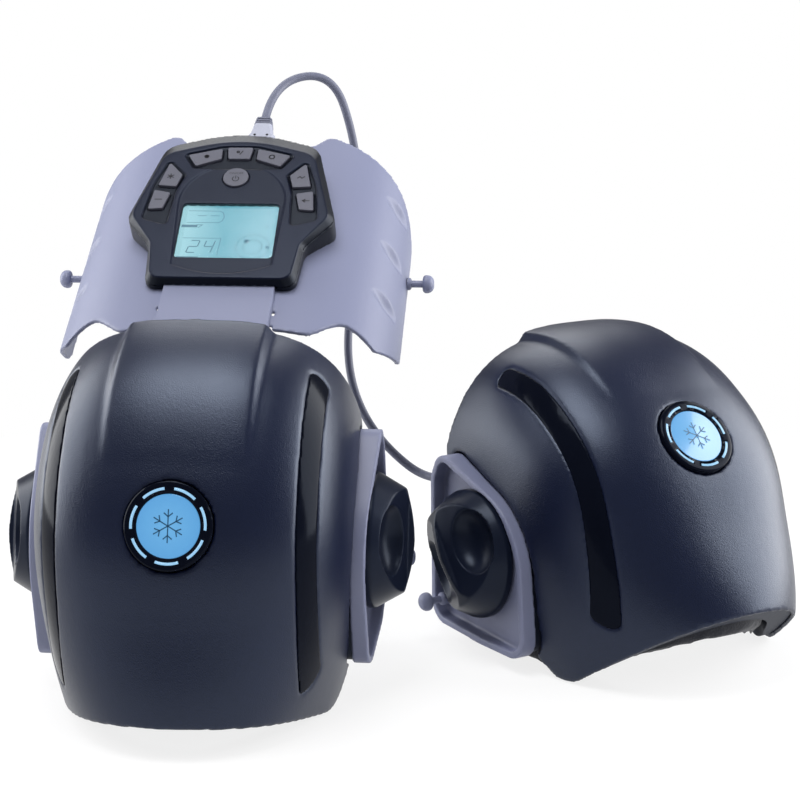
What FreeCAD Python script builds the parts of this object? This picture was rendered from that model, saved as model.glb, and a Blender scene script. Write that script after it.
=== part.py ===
import FreeCAD, Part
import math
import os
from FreeCAD import Placement, Rotation, Vector

doc = FreeCAD.newDocument("KneeTherapy")
sheet = doc.addObject("Spreadsheet::Sheet", "Sizes")

# ---------------------------------------------------------------- driving sizes, mm and degrees
SIZES = (
    # hood of a knee unit, measured from the knob axis
    ("knee_height", 95.0, "height of the knob axis over the floor line of the unit"),
    ("hood_half_width", 100.0, "half width of the outer shell"),
    ("hood_core_radius", 30.0, "radius at which the hood's section reaches its full width"),
    ("shell_wall", 3.2, "outer shell wall"),
    ("seat_gap", 0.3, "clearance between pieces that sit together"),
    ("hollow_depth", 20.0, "room for the works between shell and inner cover, at the front"),
    ("side_hollow", 2.6, "the same room at the cheeks"),
    ("cover_wall", 2.5, "inner cover wall"),
    ("pad_front", 8.0, "soft pad thickness at the front"),
    ("pad_side", 15.0, "soft pad thickness at the cheeks"),
    ("rim_recess", 2.5, "how far the inner cover stays back from the shell's edge"),
    ("rim_flange", 3.0, "flange that closes the hollow along the rim"),
    # side view of the hood, as (back, height) in the unit's frame
    ("lip_back", -14.0, "bonnet lip, back of the knob axis"),
    ("lip_height", 240.0, "bonnet lip, height"),
    ("mouth_slope", 57.8, "slope of the rim plane at the mouth"),
    ("ear_back", 31.5, "rear top corner of the shell"),
    ("lobe_back", -48.0, "corner under the side lobes"),
    ("lobe_height", -3.3, "height of that corner before rounding"),
    ("arch_slope", 15.6, "slope of the lower edge towards the front"),
    ("cheek_back", -34.0, "rear edge of the shell below the side frame"),
    # bonnet
    ("bonnet_half_width", 43.0, "half width of the raised bonnet"),
    ("bonnet_step", 5.0, "width of its slanted side"),
    ("bonnet_rise", 6.0, "height of the bonnet at the lip"),
    ("bonnet_start", 37.0, "angle at which the bonnet rises out of the shell"),
    # gloss strips
    ("strip_place", 78.0, "strip centre from the middle plane"),
    ("strip_width", 11.0, "strip width"),
    ("strip_depth", 2.0, "depth of the strip's channel"),
    ("strip_low", -33.0, "lower end of the strip, angle"),
    ("strip_high", 76.0, "upper end of the strip, angle"),
    # badge
    ("badge_angle", 21.3, "place of the badge on the hood, angle"),
    ("badge_face", 135.6, "badge face from the knob axis"),
    ("badge_radius", 26.5, "bezel radius"),
    ("badge_flange", 2.5, "bezel flange behind the shell"),
    ("lens_radius", 18.9, "lit lens radius"),
    ("dash_radius", 22.1, "middle radius of the dashes"),
    ("dash_width", 1.7, "width of a dash"),
    ("dash_count", 7.0, "number of dashes"),
    ("dash_share", 0.7, "share of its pitch that a dash fills"),
    # contact plate, thermoelectric module, heat sink and fan
    ("stack_angle", 52.0, "place of the contact plate on the hood, angle"),
    ("plate_side", 60.0, "contact plate side"),
    ("plate_thick", 2.0, "contact plate thickness"),
    ("plate_seat", 112.2, "seat of the contact plate from the knob axis"),
    ("module_side", 40.0, "thermoelectric module side"),
    ("module_thick", 3.8, "thermoelectric module thickness"),
    ("sink_side", 46.0, "heat sink side"),
    ("sink_base", 2.0, "heat sink base thickness"),
    ("fin_height", 5.5, "heat sink fin height"),
    ("fin_thick", 1.0, "heat sink fin thickness"),
    ("fin_count", 9.0, "number of fins"),
    ("fan_side", 44.0, "fan frame side"),
    ("fan_height", 7.0, "fan frame height"),
    ("fan_bore", 20.0, "radius of the fan's air way"),
    ("fan_pin", 1.5, "radius of the fan's pin"),
    ("pin_play", 0.05, "running clearance on a pin"),
    ("board_thick", 1.6, "circuit board thickness"),
    # side frame, knob and strap stud
    ("cheek_face", 97.0, "cheek of the inner cover that carries the side frame"),
    ("frame_depth", 15.0, "side frame, from the inner cover to its outer rim"),
    ("frame_floor", 6.0, "floor of the side frame's tray"),
    ("frame_fall", 6.0, "how much lower the rim is at its front corner"),
    ("frame_rim", 5.0, "width of the side frame's rim"),
    ("frame_gap", 0.8, "gap between side frame and shell"),
    ("post_radius", 6.0, "pivot post of the knob"),
    ("post_height", 9.0, "height of the pivot post"),
    ("knob_gap", 1.3, "gap under the knob"),
    ("knob_radius", 44.5, "knob base radius"),
    ("knob_skirt", 5.5, "height of the knob's straight skirt"),
    ("knob_crown", 34.0, "radius at which the knob's flank meets its crown"),
    ("knob_shoulder", 24.0, "height of the crown's edge"),
    ("knob_height", 30.1, "height of the grip ridge at its middle"),
    ("grip_width", 5.4, "grip ridge width"),
    ("grip_foot", 25.8, "height at which the crown leaves the grip ridge"),
    ("grip_fall", 19.0, "slope of the crown away from the grip ridge, degrees"),
    ("grip_lean", 18.0, "how far the top of the grip ridge leans back at rest, degrees"),
    ("scoop_reach", 27.5, "middle of a finger scoop, from the knob's axis"),
    ("scoop_height", 21.0, "middle of a finger scoop, over the knob's underside"),
    ("scoop_length", 23.0, "finger scoop, half length"),
    ("scoop_width", 18.0, "finger scoop, half width"),
    ("scoop_depth", 14.5, "finger scoop, half depth"),
    ("stud_back", 43.0, "strap stud, back of the knob axis"),
    ("stud_height", 68.0, "strap stud, height"),
    ("stud_head", 6.5, "strap stud head radius"),
    ("stud_neck", 2.5, "strap stud neck radius"),
    ("stud_collar", 4.5, "strap stud collar radius"),
    ("stud_length", 28.0, "strap stud length from the tray floor"),
    ("stud_neck_length", 8.0, "length of the strap stud's neck"),
    # thigh plate, in its own frame
    ("lcd_back", 90.0, "middle of the LCD, back of the knob axis"),
    ("lcd_height", 281.0, "middle of the LCD, height"),
    ("controller_tilt", 36.0, "tilt of the controller's face"),
    ("thigh_tilt", 29.0, "tilt of the thigh plate"),
    ("thigh_half_width", 116.0, "thigh plate half width"),
    ("thigh_drop", 72.0, "height of the thigh plate's arch"),
    ("thigh_fullness", 2.6, "exponent of the thigh plate's arch"),
    ("thigh_top", -13.7, "top of the thigh plate under the LCD"),
    ("thigh_wall", 3.0, "thigh plate wall"),
    ("thigh_front", -82.0, "front edge of the thigh plate"),
    ("thigh_rear", 129.0, "rear edge of the thigh plate"),
    ("thigh_stud_back", 37.0, "strap stud on the thigh plate, along the slope"),
    ("thigh_stud_drop", -77.7, "strap stud on the thigh plate, height"),
    # link strip and its hinge
    ("link_half_width", 37.0, "link strip half width"),
    ("link_thick", 2.2, "link strip thickness"),
    ("hinge_back", -22.0, "hinge pin, back of the knob axis"),
    ("hinge_height", 227.5, "hinge pin, height"),
    ("hinge_pin", 1.5, "hinge pin radius"),
    ("knuckle_radius", 3.6, "link strip knuckle radius"),
    ("lug_width", 4.0, "width of a hinge lug"),
    # controller
    ("face_thick", 6.0, "height of the controller cover"),
    ("web_drop", 3.4, "underside of the controller's face"),
    ("track_drop", 1.4, "depth of the button tracks"),
    ("panel_drop", 0.6, "depth of the display panel"),
    ("cover_side", 2.2, "controller side wall"),
    ("lcd_width", 66.0, "LCD width"),
    ("lcd_length", 50.0, "LCD height"),
    ("window_drop", 0.9, "LCD window below the face"),
    ("module_border", 3.0, "LCD module border round the window"),
    ("button_play", 0.25, "gap round a button"),
    ("button_rise", 0.9, "button top over the face"),
    ("button_flange", 1.0, "flange that keeps a button in"),
    ("button_travel", 0.8, "button travel"),
    ("power_place", 50.0, "power button, up the slope"),
    ("power_radius", 8.8, "power button radius"),
    # cord
    ("cord_radius", 3.0, "cord radius"),
    ("plug_place", 11.0, "plug, from the middle plane"),
    ("plug_length", 15.0, "plug length"),
    ("plug_width", 18.4, "plug width at its foot"),
    ("plug_thick", 9.2, "plug thickness at its foot"),
    ("plug_drop", 11.0, "middle of the plug, under the controller's face"),
    ("plug_band", 4.2, "height of the band round the plug's foot"),
    ("relief_length", 7.4, "length of the ribbed relief"),
    ("relief_rib", 1.4, "height of a rib of the relief"),
    # standing places of the two units
    ("left_across", -127.63, "left unit, across"),
    ("left_back", -28.0, "left unit, back"),
    ("left_lift", 2.38, "left unit, lift"),
    ("left_turn", -5.08, "left unit, turn about the vertical"),
    ("left_lean", 2.42, "left unit, lean forward"),
    ("right_across", 155.37, "right unit, across"),
    ("right_back", 41.6, "right unit, back"),
    ("right_lift", -18.86, "right unit, lift"),
    ("right_turn", 30.8, "right unit, turn about the vertical"),
    ("right_lean", -20.5, "right unit, lean forward (negative leans back)"),
)
for row, (alias, value, note) in enumerate(SIZES, start=1):
    sheet.set("A%d" % row, alias)
    sheet.set("B%d" % row, str(value))
    sheet.set("C%d" % row, note)
    sheet.setAlias("B%d" % row, alias)
doc.recompute()


def size(alias):
    return float(sheet.get(alias))


# Hood profile: (angle, outer radius, fullness of the section) around the knob axis.
HOOD = (
    (-66.0, 190.0, 2.0),
    (-40.0, 178.0, 1.9),
    (-26.0, 163.0, 1.95),
    (-5.0, 138.5, 2.4),
    (21.0, 135.0, 2.8),
    (40.0, 135.5, 2.9),
    (62.0, 140.5, 2.9),
    (86.0, 143.7, 2.9),
    (118.0, 149.0, 2.9),
)
# Side frame outline and corner radii, as (back, height, radius) in the unit's frame.
FRAME = ((14, 170, 14), (31, 153, 14), (64, 56, 16), (-38, 16, 15), (-59, 108, 60))


def hermite(angle, column):
    """Smooth value of one column of the hood profile at an angle."""
    angles = [row[0] for row in HOOD]
    values = [row[column] for row in HOOD]
    last = len(HOOD) - 1
    i = max(k for k in range(last) if angle >= angles[k] or k == 0)

    def slope(k):
        a, b = max(k - 1, 0), min(k + 1, last)
        return (values[b] - values[a]) / (angles[b] - angles[a])

    span = angles[i + 1] - angles[i]
    u = (angle - angles[i]) / span
    return (
        (2 * u**3 - 3 * u**2 + 1) * values[i]
        + (u**3 - 2 * u**2 + u) * span * slope(i)
        + (3 * u**2 - 2 * u**3) * values[i + 1]
        + (u**3 - u**2) * span * slope(i + 1)
    )


def on_hood(angle, across, radius):
    """A point of the unit's frame from its angle and radius about the knob axis."""
    turn = math.radians(angle)
    return Vector(across, -radius * math.cos(turn), size("knee_height") + radius * math.sin(turn))


def hood_radius(angle, across, side_in=0.0, front_in=0.0):
    """Radius of the hood's surface, moved in by side_in at the cheeks and front_in at the front."""
    core = size("hood_core_radius")
    full = hermite(angle, 2)
    share = min(abs(across) / (size("hood_half_width") - side_in), 1.0)
    return core + (hermite(angle, 1) - front_in - core) * (1 - share**full) ** (1 / full)


def hood_solid(side_in=0.0, front_in=0.0):
    """The full solid under the hood's surface, lofted through sections in planes of the knob axis."""
    width = size("hood_half_width") - side_in
    wires = []
    steps = 8
    angle = HOOD[0][0]
    while angle <= HOOD[-1][0] + 0.01:
        arch = []
        for k in range(-steps, steps + 1):
            across = width * math.sin(math.pi / 2 * k / steps)
            arch.append(on_hood(angle, across, hood_radius(angle, across, side_in, front_in)))
        curve = Part.BSplineCurve()
        curve.interpolate(arch)
        base = Part.LineSegment(arch[-1], arch[0])
        wires.append(Part.Wire([curve.toShape(), base.toShape()]))
        angle += (HOOD[-1][0] - HOOD[0][0]) / 12
    return Part.makeLoft(wires, True, False)


def rounded(points):
    """Edges of a closed outline through (u, v, radius) corners, on the XY plane."""
    count = len(points)
    cuts = []
    for i, (u, v, radius) in enumerate(points):
        here = Vector(u, v, 0)
        before = Vector(*points[i - 1][:2], 0) - here
        after = Vector(*points[(i + 1) % count][:2], 0) - here
        before.normalize()
        after.normalize()
        if radius == 0:
            cuts.append((here, here, here))
            continue
        half = before.getAngle(after) / 2
        reach = radius / math.tan(half)
        middle = here + (before + after).normalize() * (radius / math.sin(half) - radius)
        cuts.append((here + before * reach, middle, here + after * reach))
    edges = []
    for i, (start, middle, end) in enumerate(cuts):
        if start != end:
            edges.append(Part.Arc(start, middle, end))
        following = cuts[(i + 1) % count][0]
        if end.distanceToPoint(following) > 1e-6:
            edges.append(Part.LineSegment(end, following))
    return edges


def inset(points, distance):
    """The same outline moved in by a distance (outlines run anticlockwise; negative moves out)."""
    count = len(points)
    moved = []
    for i, (u, v, radius) in enumerate(points):
        here = Vector(u, v, 0)
        before = (here - Vector(*points[i - 1][:2], 0)).normalize()
        after = (Vector(*points[(i + 1) % count][:2], 0) - here).normalize()
        left_before = Vector(-before.y, before.x, 0)
        left_after = Vector(-after.y, after.x, 0)
        shift = (left_before + left_after) * (distance / (1 + left_before.dot(left_after)))
        corner = here + shift
        turning = before.cross(after).z
        fresh = radius - distance if turning > 0 else radius + distance
        moved.append((corner.x, corner.y, max(fresh, 0.4) if radius else 0))
    return moved


def anticlockwise(points):
    area = sum(a[0] * b[1] - b[0] * a[1] for a, b in zip(points, points[1:] + points[:1]))
    return points if area > 0 else points[::-1]


def side_prism(points, low, high):
    """A prism across the unit, from an outline in the side view as (back, height, radius)."""
    wire = Part.Wire([edge.toShape() for edge in rounded(points)])
    prism = Part.Face(wire).extrude(Vector(0, 0, high - low))
    prism.Placement = Placement(Vector(low, 0, 0), Rotation(Vector(0, 1, 0), Vector(0, 0, 1), Vector(1, 0, 0), "XYZ"))
    return prism


def flat_prism(points, low, high):
    wire = Part.Wire([edge.toShape() for edge in rounded(points)])
    prism = Part.Face(wire).extrude(Vector(0, 0, high - low))
    prism.translate(Vector(0, 0, low))
    return prism


def hood_outline():
    """Side view of the shell: mouth plane, ear, side cut-out, lobe and front arch."""
    slope = math.radians(size("mouth_slope"))
    ahead = 60.0
    lip = Vector(size("lip_back"), size("lip_height"), 0)
    drop = (size("ear_back") - lip.x) * math.tan(slope)
    arch = math.tan(math.radians(size("arch_slope")))
    front = -250.0
    lobe = (size("lobe_back"), size("lobe_height"))
    top = (lip.x - ahead * math.cos(slope), lip.y + ahead * math.sin(slope))
    return anticlockwise([
        (top[0], top[1], 0),
        (size("ear_back"), lip.y - drop, 12),
        (4, 138, 0),
        (size("cheek_back"), 108, 0),
        (size("cheek_back"), 20, 12),
        (lobe[0], lobe[1], 20),
        (front, lobe[1] + (lobe[0] - front) * arch, 0),
        (front, top[1], 0),
    ])


def frame_outline():
    return anticlockwise([tuple(map(float, corner)) for corner in FRAME])


def hood_frame(angle, radius):
    """Frame that stands on the hood: Z outwards, X across, Y up the hood."""
    turn = math.radians(angle)
    out = Vector(0, -math.cos(turn), math.sin(turn))
    along = Vector(0, math.sin(turn), math.cos(turn))
    return Placement(on_hood(angle, 0, radius), Rotation(Vector(1, 0, 0), along, out, "XYZ"))


def side_frame(side, across):
    """Frame on a cheek of the unit: Z outwards, Y up, X back (right side) or forward (left side)."""
    back = Vector(0, side, 0)
    turn = Rotation(back, Vector(0, 0, 1), Vector(side, 0, 0), "XYZ")
    return Placement(Vector(side * across, 0, 0), turn)


def tilted(tilt):
    return Placement(Vector(0, size("lcd_back"), size("lcd_height")), Rotation(Vector(1, 0, 0), tilt))


def standing(which):
    turn = Rotation(Vector(0, 0, 1), size(which + "_turn"))
    lean = Rotation(Vector(1, 0, 0), size(which + "_lean"))
    place = Vector(size(which + "_across"), size(which + "_back"), size(which + "_lift"))
    return Placement(place, turn.multiply(lean))


# ---------------------------------------------------------------- document helpers
NODES = []


def keep(thing, label):
    thing.Label = label
    NODES.append(thing)
    return thing


def shaped(label, shape, place):
    """A sub-part whose surface comes from lofts, set as its own shape."""
    thing = doc.addObject("Part::Feature", label)
    thing.Shape = shape.removeSplitter()
    thing.Placement = place
    return keep(thing, label)


def new_body(label, place):
    body = doc.addObject("PartDesign::Body", label)
    body.Placement = place
    return keep(body, label)


def plane_of(body, role):
    return next(item for item in body.Origin.OriginFeatures if item.Role == role)


def sketch(body, name, edges, height=None, role="XY_Plane"):
    drawn = body.newObject("Sketcher::SketchObject", body.Name + "_" + name)
    drawn.AttachmentSupport = [(plane_of(body, role), "")]
    drawn.MapMode = "FlatFace"
    if height is not None:
        drawn.setExpression("AttachmentOffset.Base.z", height)
    drawn.addGeometry(list(edges), False)
    return drawn


def pad(body, name, edges, length, height=None):
    """Pad an outline upwards by an expression, from a height that is an expression too."""
    feature = body.newObject("PartDesign::Pad", body.Name + "_" + name)
    feature.Profile = sketch(body, name + "_outline", edges, height)
    feature.setExpression("Length", length)
    return feature


def pocket(body, name, edges, length, height):
    """Cut an outline downwards from a height."""
    feature = body.newObject("PartDesign::Pocket", body.Name + "_" + name)
    feature.Profile = sketch(body, name + "_outline", edges, height)
    feature.setExpression("Length", length)
    return feature


def revolve(body, name, points, kind="PartDesign::Revolution"):
    """Turn a profile of (radius, height, corner) points about the body's Z axis."""
    feature = body.newObject(kind, body.Name + "_" + name)
    feature.Profile = sketch(body, name + "_outline", rounded(points), None, "XZ_Plane")
    feature.ReferenceAxis = (plane_of(body, "Z_Axis"), [""])
    feature.Angle = 360
    return feature


def circle(radius, u=0.0, v=0.0):
    return Part.Circle(Vector(u, v, 0), Vector(0, 0, 1), radius)


def rectangle(width, length, corner=0.0, u=0.0, v=0.0):
    w, n = width / 2, length / 2
    return rounded([(u - w, v - n, corner), (u + w, v - n, corner), (u + w, v + n, corner), (u - w, v + n, corner)])


def local(place, inner):
    return place.multiply(inner)


def deep(value):
    return float(value)


# ---------------------------------------------------------------- shared solids of a knee unit
WALL = size("shell_wall")
FIT = WALL + size("seat_gap")
HOLLOW_SIDE = FIT + size("side_hollow")
HOLLOW_FRONT = FIT + size("hollow_depth")
INNER_SIDE = HOLLOW_SIDE + size("cover_wall")
INNER_FRONT = HOLLOW_FRONT + size("cover_wall")
PAD_SIDE = INNER_SIDE + size("seat_gap")
PAD_FRONT = INNER_FRONT + size("seat_gap")

HOOD_OUT = hood_solid()
HOOD_IN = hood_solid(WALL, WALL)
COVER_OUT = hood_solid(FIT, FIT)
HOLLOW_OUT = hood_solid(WALL - 0.5, WALL - 0.5)
HOLLOW_IN = hood_solid(HOLLOW_SIDE, HOLLOW_FRONT)
COVER_IN = hood_solid(INNER_SIDE, INNER_FRONT)
PAD_OUT = hood_solid(PAD_SIDE, PAD_FRONT)
PAD_IN = hood_solid(PAD_SIDE + size("pad_side"), PAD_FRONT + size("pad_front"))
STRIP_TOP = hood_solid(0.3, 0.3)
STRIP_BED = hood_solid(size("strip_depth"), size("strip_depth"))
WIDE = size("hood_half_width") + 10
SHELL_ZONE = HOOD_OUT.cut(COVER_OUT).common(side_prism(inset(hood_outline(), -size("seat_gap")), -WIDE, WIDE))


def bonnet_solid(side_in=0.0, drop=0.0):
    """The raised middle of the hood, rising steadily from its lower end to the lip."""
    top = size("bonnet_half_width") - side_in
    foot = top + size("bonnet_step")
    start = size("bonnet_start")
    wires = []
    for step in range(10):
        angle = start - 1 + step * (HOOD[-1][0] - start + 1) / 9
        rise = size("bonnet_rise") * (angle - start) / (84 - start) - drop
        crown = []
        for k in range(-4, 5):
            across = top * k / 4
            crown.append(on_hood(angle, across, hood_radius(angle, across) + rise))
        edge = hood_radius(angle, foot) - 1.0 - drop
        low = hood_radius(angle, foot) - 9.0
        corners = [crown[-1], on_hood(angle, foot, edge), on_hood(angle, foot, low)]
        corners += [on_hood(angle, -foot, low), on_hood(angle, -foot, edge), crown[0]]
        curve = Part.BSplineCurve()
        curve.interpolate(crown)
        lines = [Part.LineSegment(a, b).toShape() for a, b in zip(corners, corners[1:])]
        wires.append(Part.Wire([curve.toShape()] + lines))
    return Part.makeLoft(wires, True, False)


def both_cheeks(points, inner, outer):
    right = side_prism(points, inner, outer)
    return right.fuse(side_prism(points, -outer, -inner))


def on_cheeks(solid):
    """A solid drawn on the right cheek and its mirror image on the left one."""
    return Part.makeCompound([solid, solid.mirror(Vector(0, 0, 0), Vector(1, 0, 0))])


def strip_sector(grow):
    """Ring sector that cuts a gloss strip out of the hood, with rounded ends."""
    half = size("strip_width") / 2 + grow
    spread = math.degrees(grow / 130)
    low = size("strip_low") - spread
    turn = size("strip_high") - size("strip_low") + 2 * spread
    place = size("strip_place")
    corners = [on_hood(low, place - half, 60), on_hood(low, place + half, 60)]
    corners += [on_hood(low, place + half, 200), on_hood(low, place - half, 200)]
    face = Part.Face(Part.makePolygon(corners + corners[:1]))
    sector = face.revolve(on_hood(0, 0, 0), Vector(-1, 0, 0), turn)
    ends = [e for e in sector.Edges if isinstance(e.Curve, Part.Line) and abs(e.Length - 140) < 0.01]
    return sector.makeFillet(half - 0.1, ends)


def shell_solid():
    outline = side_prism(hood_outline(), -WIDE, WIDE)
    body = HOOD_OUT.fuse(bonnet_solid()).common(outline)
    body = body.cut(HOOD_IN).cut(bonnet_solid(WALL, WALL))
    body = body.cut(both_cheeks(inset(frame_outline(), -size("frame_gap")), 90, WIDE))
    seat = Part.makeCylinder(size("badge_radius") + 0.2, 40, Vector(0, 0, 110))
    seat.Placement = hood_frame(size("badge_angle"), 0)
    return body.cut(seat).cut(on_cheeks(strip_sector(0.2).cut(STRIP_BED)))


def strips_solid():
    return on_cheeks(strip_sector(0.0).common(STRIP_TOP).cut(STRIP_BED))


def stack_box(side, low, high):
    box = Part.makeBox(side, side, high - low, Vector(-side / 2, -side / 2, low))
    box.Placement = hood_frame(size("stack_angle"), 0)
    return box


def hinge_bar(radius, low, high):
    return Part.makeCylinder(radius, high - low, Vector(low, size("hinge_back"), size("hinge_height")), Vector(1, 0, 0))


def hinge_lugs():
    """Two ears on the inner cover that carry the hinge pin of the link strip."""
    inner = size("link_half_width") + 0.6
    outer = inner + size("lug_width")
    back, height = size("hinge_back"), size("hinge_height")
    turn = math.degrees(math.atan2(height - size("knee_height"), -back))
    reach = math.hypot(back, height - size("knee_height"))
    ear = Part.makeBox(outer - inner, 9, reach - 105, Vector(inner, -4.5, 105))
    ear.Placement = hood_frame(turn, 0)
    ear = ear.cut(COVER_IN).fuse(hinge_bar(4.5, inner, outer)).cut(hinge_bar(size("hinge_pin"), inner - 1, outer + 1))
    return ear.fuse(ear.mirror(Vector(0, 0, 0), Vector(1, 0, 0)))


GLAND = Vector(-89.5, 32.1, 150.0)


def cover_solid(gland):
    """Inner cover: a wall towards the knee, a flange along the rim, cheeks for the side frames."""
    rim = inset(hood_outline(), size("rim_recess"))
    flange = inset(rim, size("rim_flange"))
    body = COVER_OUT.common(side_prism(rim, -WIDE, WIDE)).cut(COVER_IN)
    hollow = HOLLOW_OUT.common(side_prism(flange, -WIDE, WIDE)).cut(HOLLOW_IN)
    body = body.cut(hollow)
    well = stack_box(size("plate_side") + 10, 100, size("plate_seat") + size("module_thick"))
    body = body.fuse(well.cut(COVER_IN))
    body = body.cut(stack_box(size("plate_side") + 0.6, 90, size("plate_seat")))
    body = body.cut(stack_box(size("module_side") + 1.0, 90, 130))
    inner = size("hood_half_width") - INNER_SIDE
    body = body.fuse(both_cheeks(inset(frame_outline(), 2.0), inner, size("cheek_face")))
    if gland:
        boss = Part.makeCylinder(6.5, 15, Vector(GLAND.x, GLAND.y - 15, GLAND.z), Vector(0, 1, 0))
        return body.fuse(boss)
    half = size("link_half_width") + 0.6 + size("lug_width") + 0.4
    mouth = Part.makeBox(2 * half, 75, 40, Vector(-half, -30, 222))
    return body.cut(mouth).fuse(hinge_lugs())


PAD_RIM = (
    (-54, 304, 0), (29, 171, 10), (2, 136, 0), (-36, 110, 0),
    (-36, 16, 6), (-46, 3.0, 12), (-250, 26.0, 0), (-250, 304, 0),
)
PAD_WING = ((10, 165, 10), (30, 150, 10), (62, 43.35, 12), (-38, 5.95, 10), (-54, 104, 50))


def pad_solid(gland):
    """Soft liner between the inner cover and the knee, with a window for the contact plate."""
    rim = anticlockwise([tuple(map(float, corner)) for corner in PAD_RIM])
    wing = anticlockwise([tuple(map(float, corner)) for corner in PAD_WING])
    body = PAD_OUT.common(side_prism(rim, -WIDE, WIDE)).cut(PAD_IN)
    outer = size("hood_half_width") - PAD_SIDE
    shade = inset(hood_outline(), size("rim_recess") - size("seat_gap"))
    cover = COVER_OUT.cut(PAD_OUT).common(side_prism(shade, -WIDE, WIDE))
    wings = both_cheeks(wing, outer - size("pad_side") - 2, outer).cut(cover).cut(SHELL_ZONE)
    body = body.fuse(wings)
    body = body.cut(stack_box(size("plate_side") + 4, 60, 130))
    if gland:
        body = body.cut(Part.makeBox(20, 30, 15, Vector(GLAND.x - 12, GLAND.y - 16.5, GLAND.z - 7.5)))
    return body


def stud_solid(length):
    """Strap stud: collar, neck and round head, standing on Z."""
    head, neck, collar = size("stud_head"), size("stud_neck"), size("stud_collar")
    start = length - 8.0
    root = start - size("stud_neck_length")
    points = [(0, 0, 0), (collar, 0, 0), (collar, root, 2.0), (neck, root, 0), (neck, start, 0)]
    points += [(head, start, 2.5), (head, length, 5.0), (0, length, 0)]
    wire = Part.Wire([edge.toShape() for edge in rounded(points)])
    face = Part.Face(wire)
    face.rotate(Vector(0, 0, 0), Vector(1, 0, 0), 90)
    return face.revolve(Vector(0, 0, 0), Vector(0, 0, 1), 360)


def pair_of_studs(across, length, back, height):
    studs = []
    for side in (1, -1):
        stud = stud_solid(length)
        stud.Placement = side_frame(side, across)
        stud.translate(Vector(0, back, height))
        studs.append(stud)
    return Part.makeCompound(studs)


SHELL = shell_solid()
STRIPS = strips_solid()
STUDS = pair_of_studs(size("cheek_face") + size("frame_floor"), size("stud_length"), size("stud_back"), size("stud_height"))


# ---------------------------------------------------------------- knee unit, piece by piece
def contact_plate(prefix, place):
    body = new_body(prefix + "cold_plate", place)
    outline = rectangle(size("plate_side"), size("plate_side"), 4)
    return pad(body, "plate", outline, "Sizes.plate_thick", "Sizes.plate_seat - Sizes.plate_thick")


def thermo_module(prefix, place):
    body = new_body(prefix + "thermo_module", place)
    outline = rectangle(size("module_side"), size("module_side"), 1)
    return pad(body, "module", outline, "Sizes.module_thick", "Sizes.plate_seat")


def heat_sink(prefix, place):
    body = new_body(prefix + "heat_sink", place)
    side = size("sink_side")
    base = "Sizes.plate_seat + Sizes.module_thick"
    pad(body, "base", rectangle(side, side, 1), "Sizes.sink_base", base)
    count = int(size("fin_count"))
    pitch = (side - size("fin_thick")) / (count - 1)
    fins = []
    for k in range(count):
        fins += rectangle(size("fin_thick"), side, 0, (k - (count - 1) / 2) * pitch, 0)
    return pad(body, "fins", fins, "Sizes.fin_height", base + " + Sizes.sink_base")


FAN_BASE = "Sizes.plate_seat + Sizes.module_thick + Sizes.sink_base + Sizes.fin_height"


def fan_frame(prefix, place):
    body = new_body(prefix + "fan_frame", place)
    side = size("fan_side")
    ring = rectangle(side, side, 4) + [circle(size("fan_bore"))]
    pad(body, "ring", ring, "Sizes.fan_height", FAN_BASE)
    bore = size("fan_bore") + 1
    arm = 2.0
    cross = [(arm, -bore), (arm, -arm), (bore, -arm), (bore, arm), (arm, arm), (arm, bore)]
    cross += [(-arm, bore), (-arm, arm), (-bore, arm), (-bore, -arm), (-arm, -arm), (-arm, -bore)]
    pad(body, "arms", rounded([(u, v, 0) for u, v in cross]), "1", FAN_BASE)
    pad(body, "hub", [circle(8)], "1.2", FAN_BASE)
    return pad(body, "pin", [circle(size("fan_pin"))], "Sizes.fan_height - 1", FAN_BASE)


def fan_rotor(prefix, place):
    body = new_body(prefix + "fan_rotor", place)
    lift = FAN_BASE + " + 1.5"
    hub = [circle(8), circle(size("fan_pin") + size("pin_play"))]
    pad(body, "hub", hub, "Sizes.fan_height - 2", lift)
    base = deep(size("plate_seat") + size("module_thick") + size("sink_base") + size("fin_height")) + 1.5
    low, high = base + 0.3, base + size("fan_height") - 2.4
    corners = [(-3.0, low, 0), (-1.8, low, 0), (3.0, high, 0), (1.8, high, 0)]
    blade = body.newObject("PartDesign::Pad", body.Name + "_blade")
    blade.Profile = sketch(body, "blade_outline", rounded(corners), "7.5", "YZ_Plane")
    blade.Length = size("fan_bore") - 1.0 - 7.5
    turn = body.newObject("PartDesign::PolarPattern", body.Name + "_blades")
    turn.Originals = [blade]
    turn.Axis = (plane_of(body, "Z_Axis"), [""])
    turn.Angle = 360
    turn.Occurrences = 7
    body.Tip = turn
    return turn


def circuit_board(prefix, place):
    body = new_body(prefix + "circuit_board", place)
    height = "Sizes.badge_face - 12.2"
    board = rectangle(56, 44, 3) + [circle(1.6, 24.5, 18.5), circle(1.6, -24.5, -18.5)]
    pad(body, "board", board, "Sizes.board_thick", height)
    lamps = []
    for k in range(6):
        turn = math.radians(60 * k)
        lamps += rectangle(3, 3, 0, 9 * math.cos(turn), 9 * math.sin(turn))
    pad(body, "lamps", lamps, "1", height + " + Sizes.board_thick")
    return pocket(body, "wire_notch", rectangle(10, 4, 0, 0, -22), "Sizes.board_thick + 1", height + " + Sizes.board_thick")


def arc_slot(radius, width, middle, half):
    """A slot bent round the badge's centre, with square ends."""
    def at(r, angle):
        return Vector(r * math.cos(math.radians(angle)), r * math.sin(math.radians(angle)), 0)

    inner, outer = radius - width / 2, radius + width / 2
    first, last = middle - half, middle + half
    return [
        Part.Arc(at(outer, first), at(outer, middle), at(outer, last)),
        Part.LineSegment(at(outer, last), at(inner, last)),
        Part.Arc(at(inner, last), at(inner, middle), at(inner, first)),
        Part.LineSegment(at(inner, first), at(outer, first)),
    ]


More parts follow.
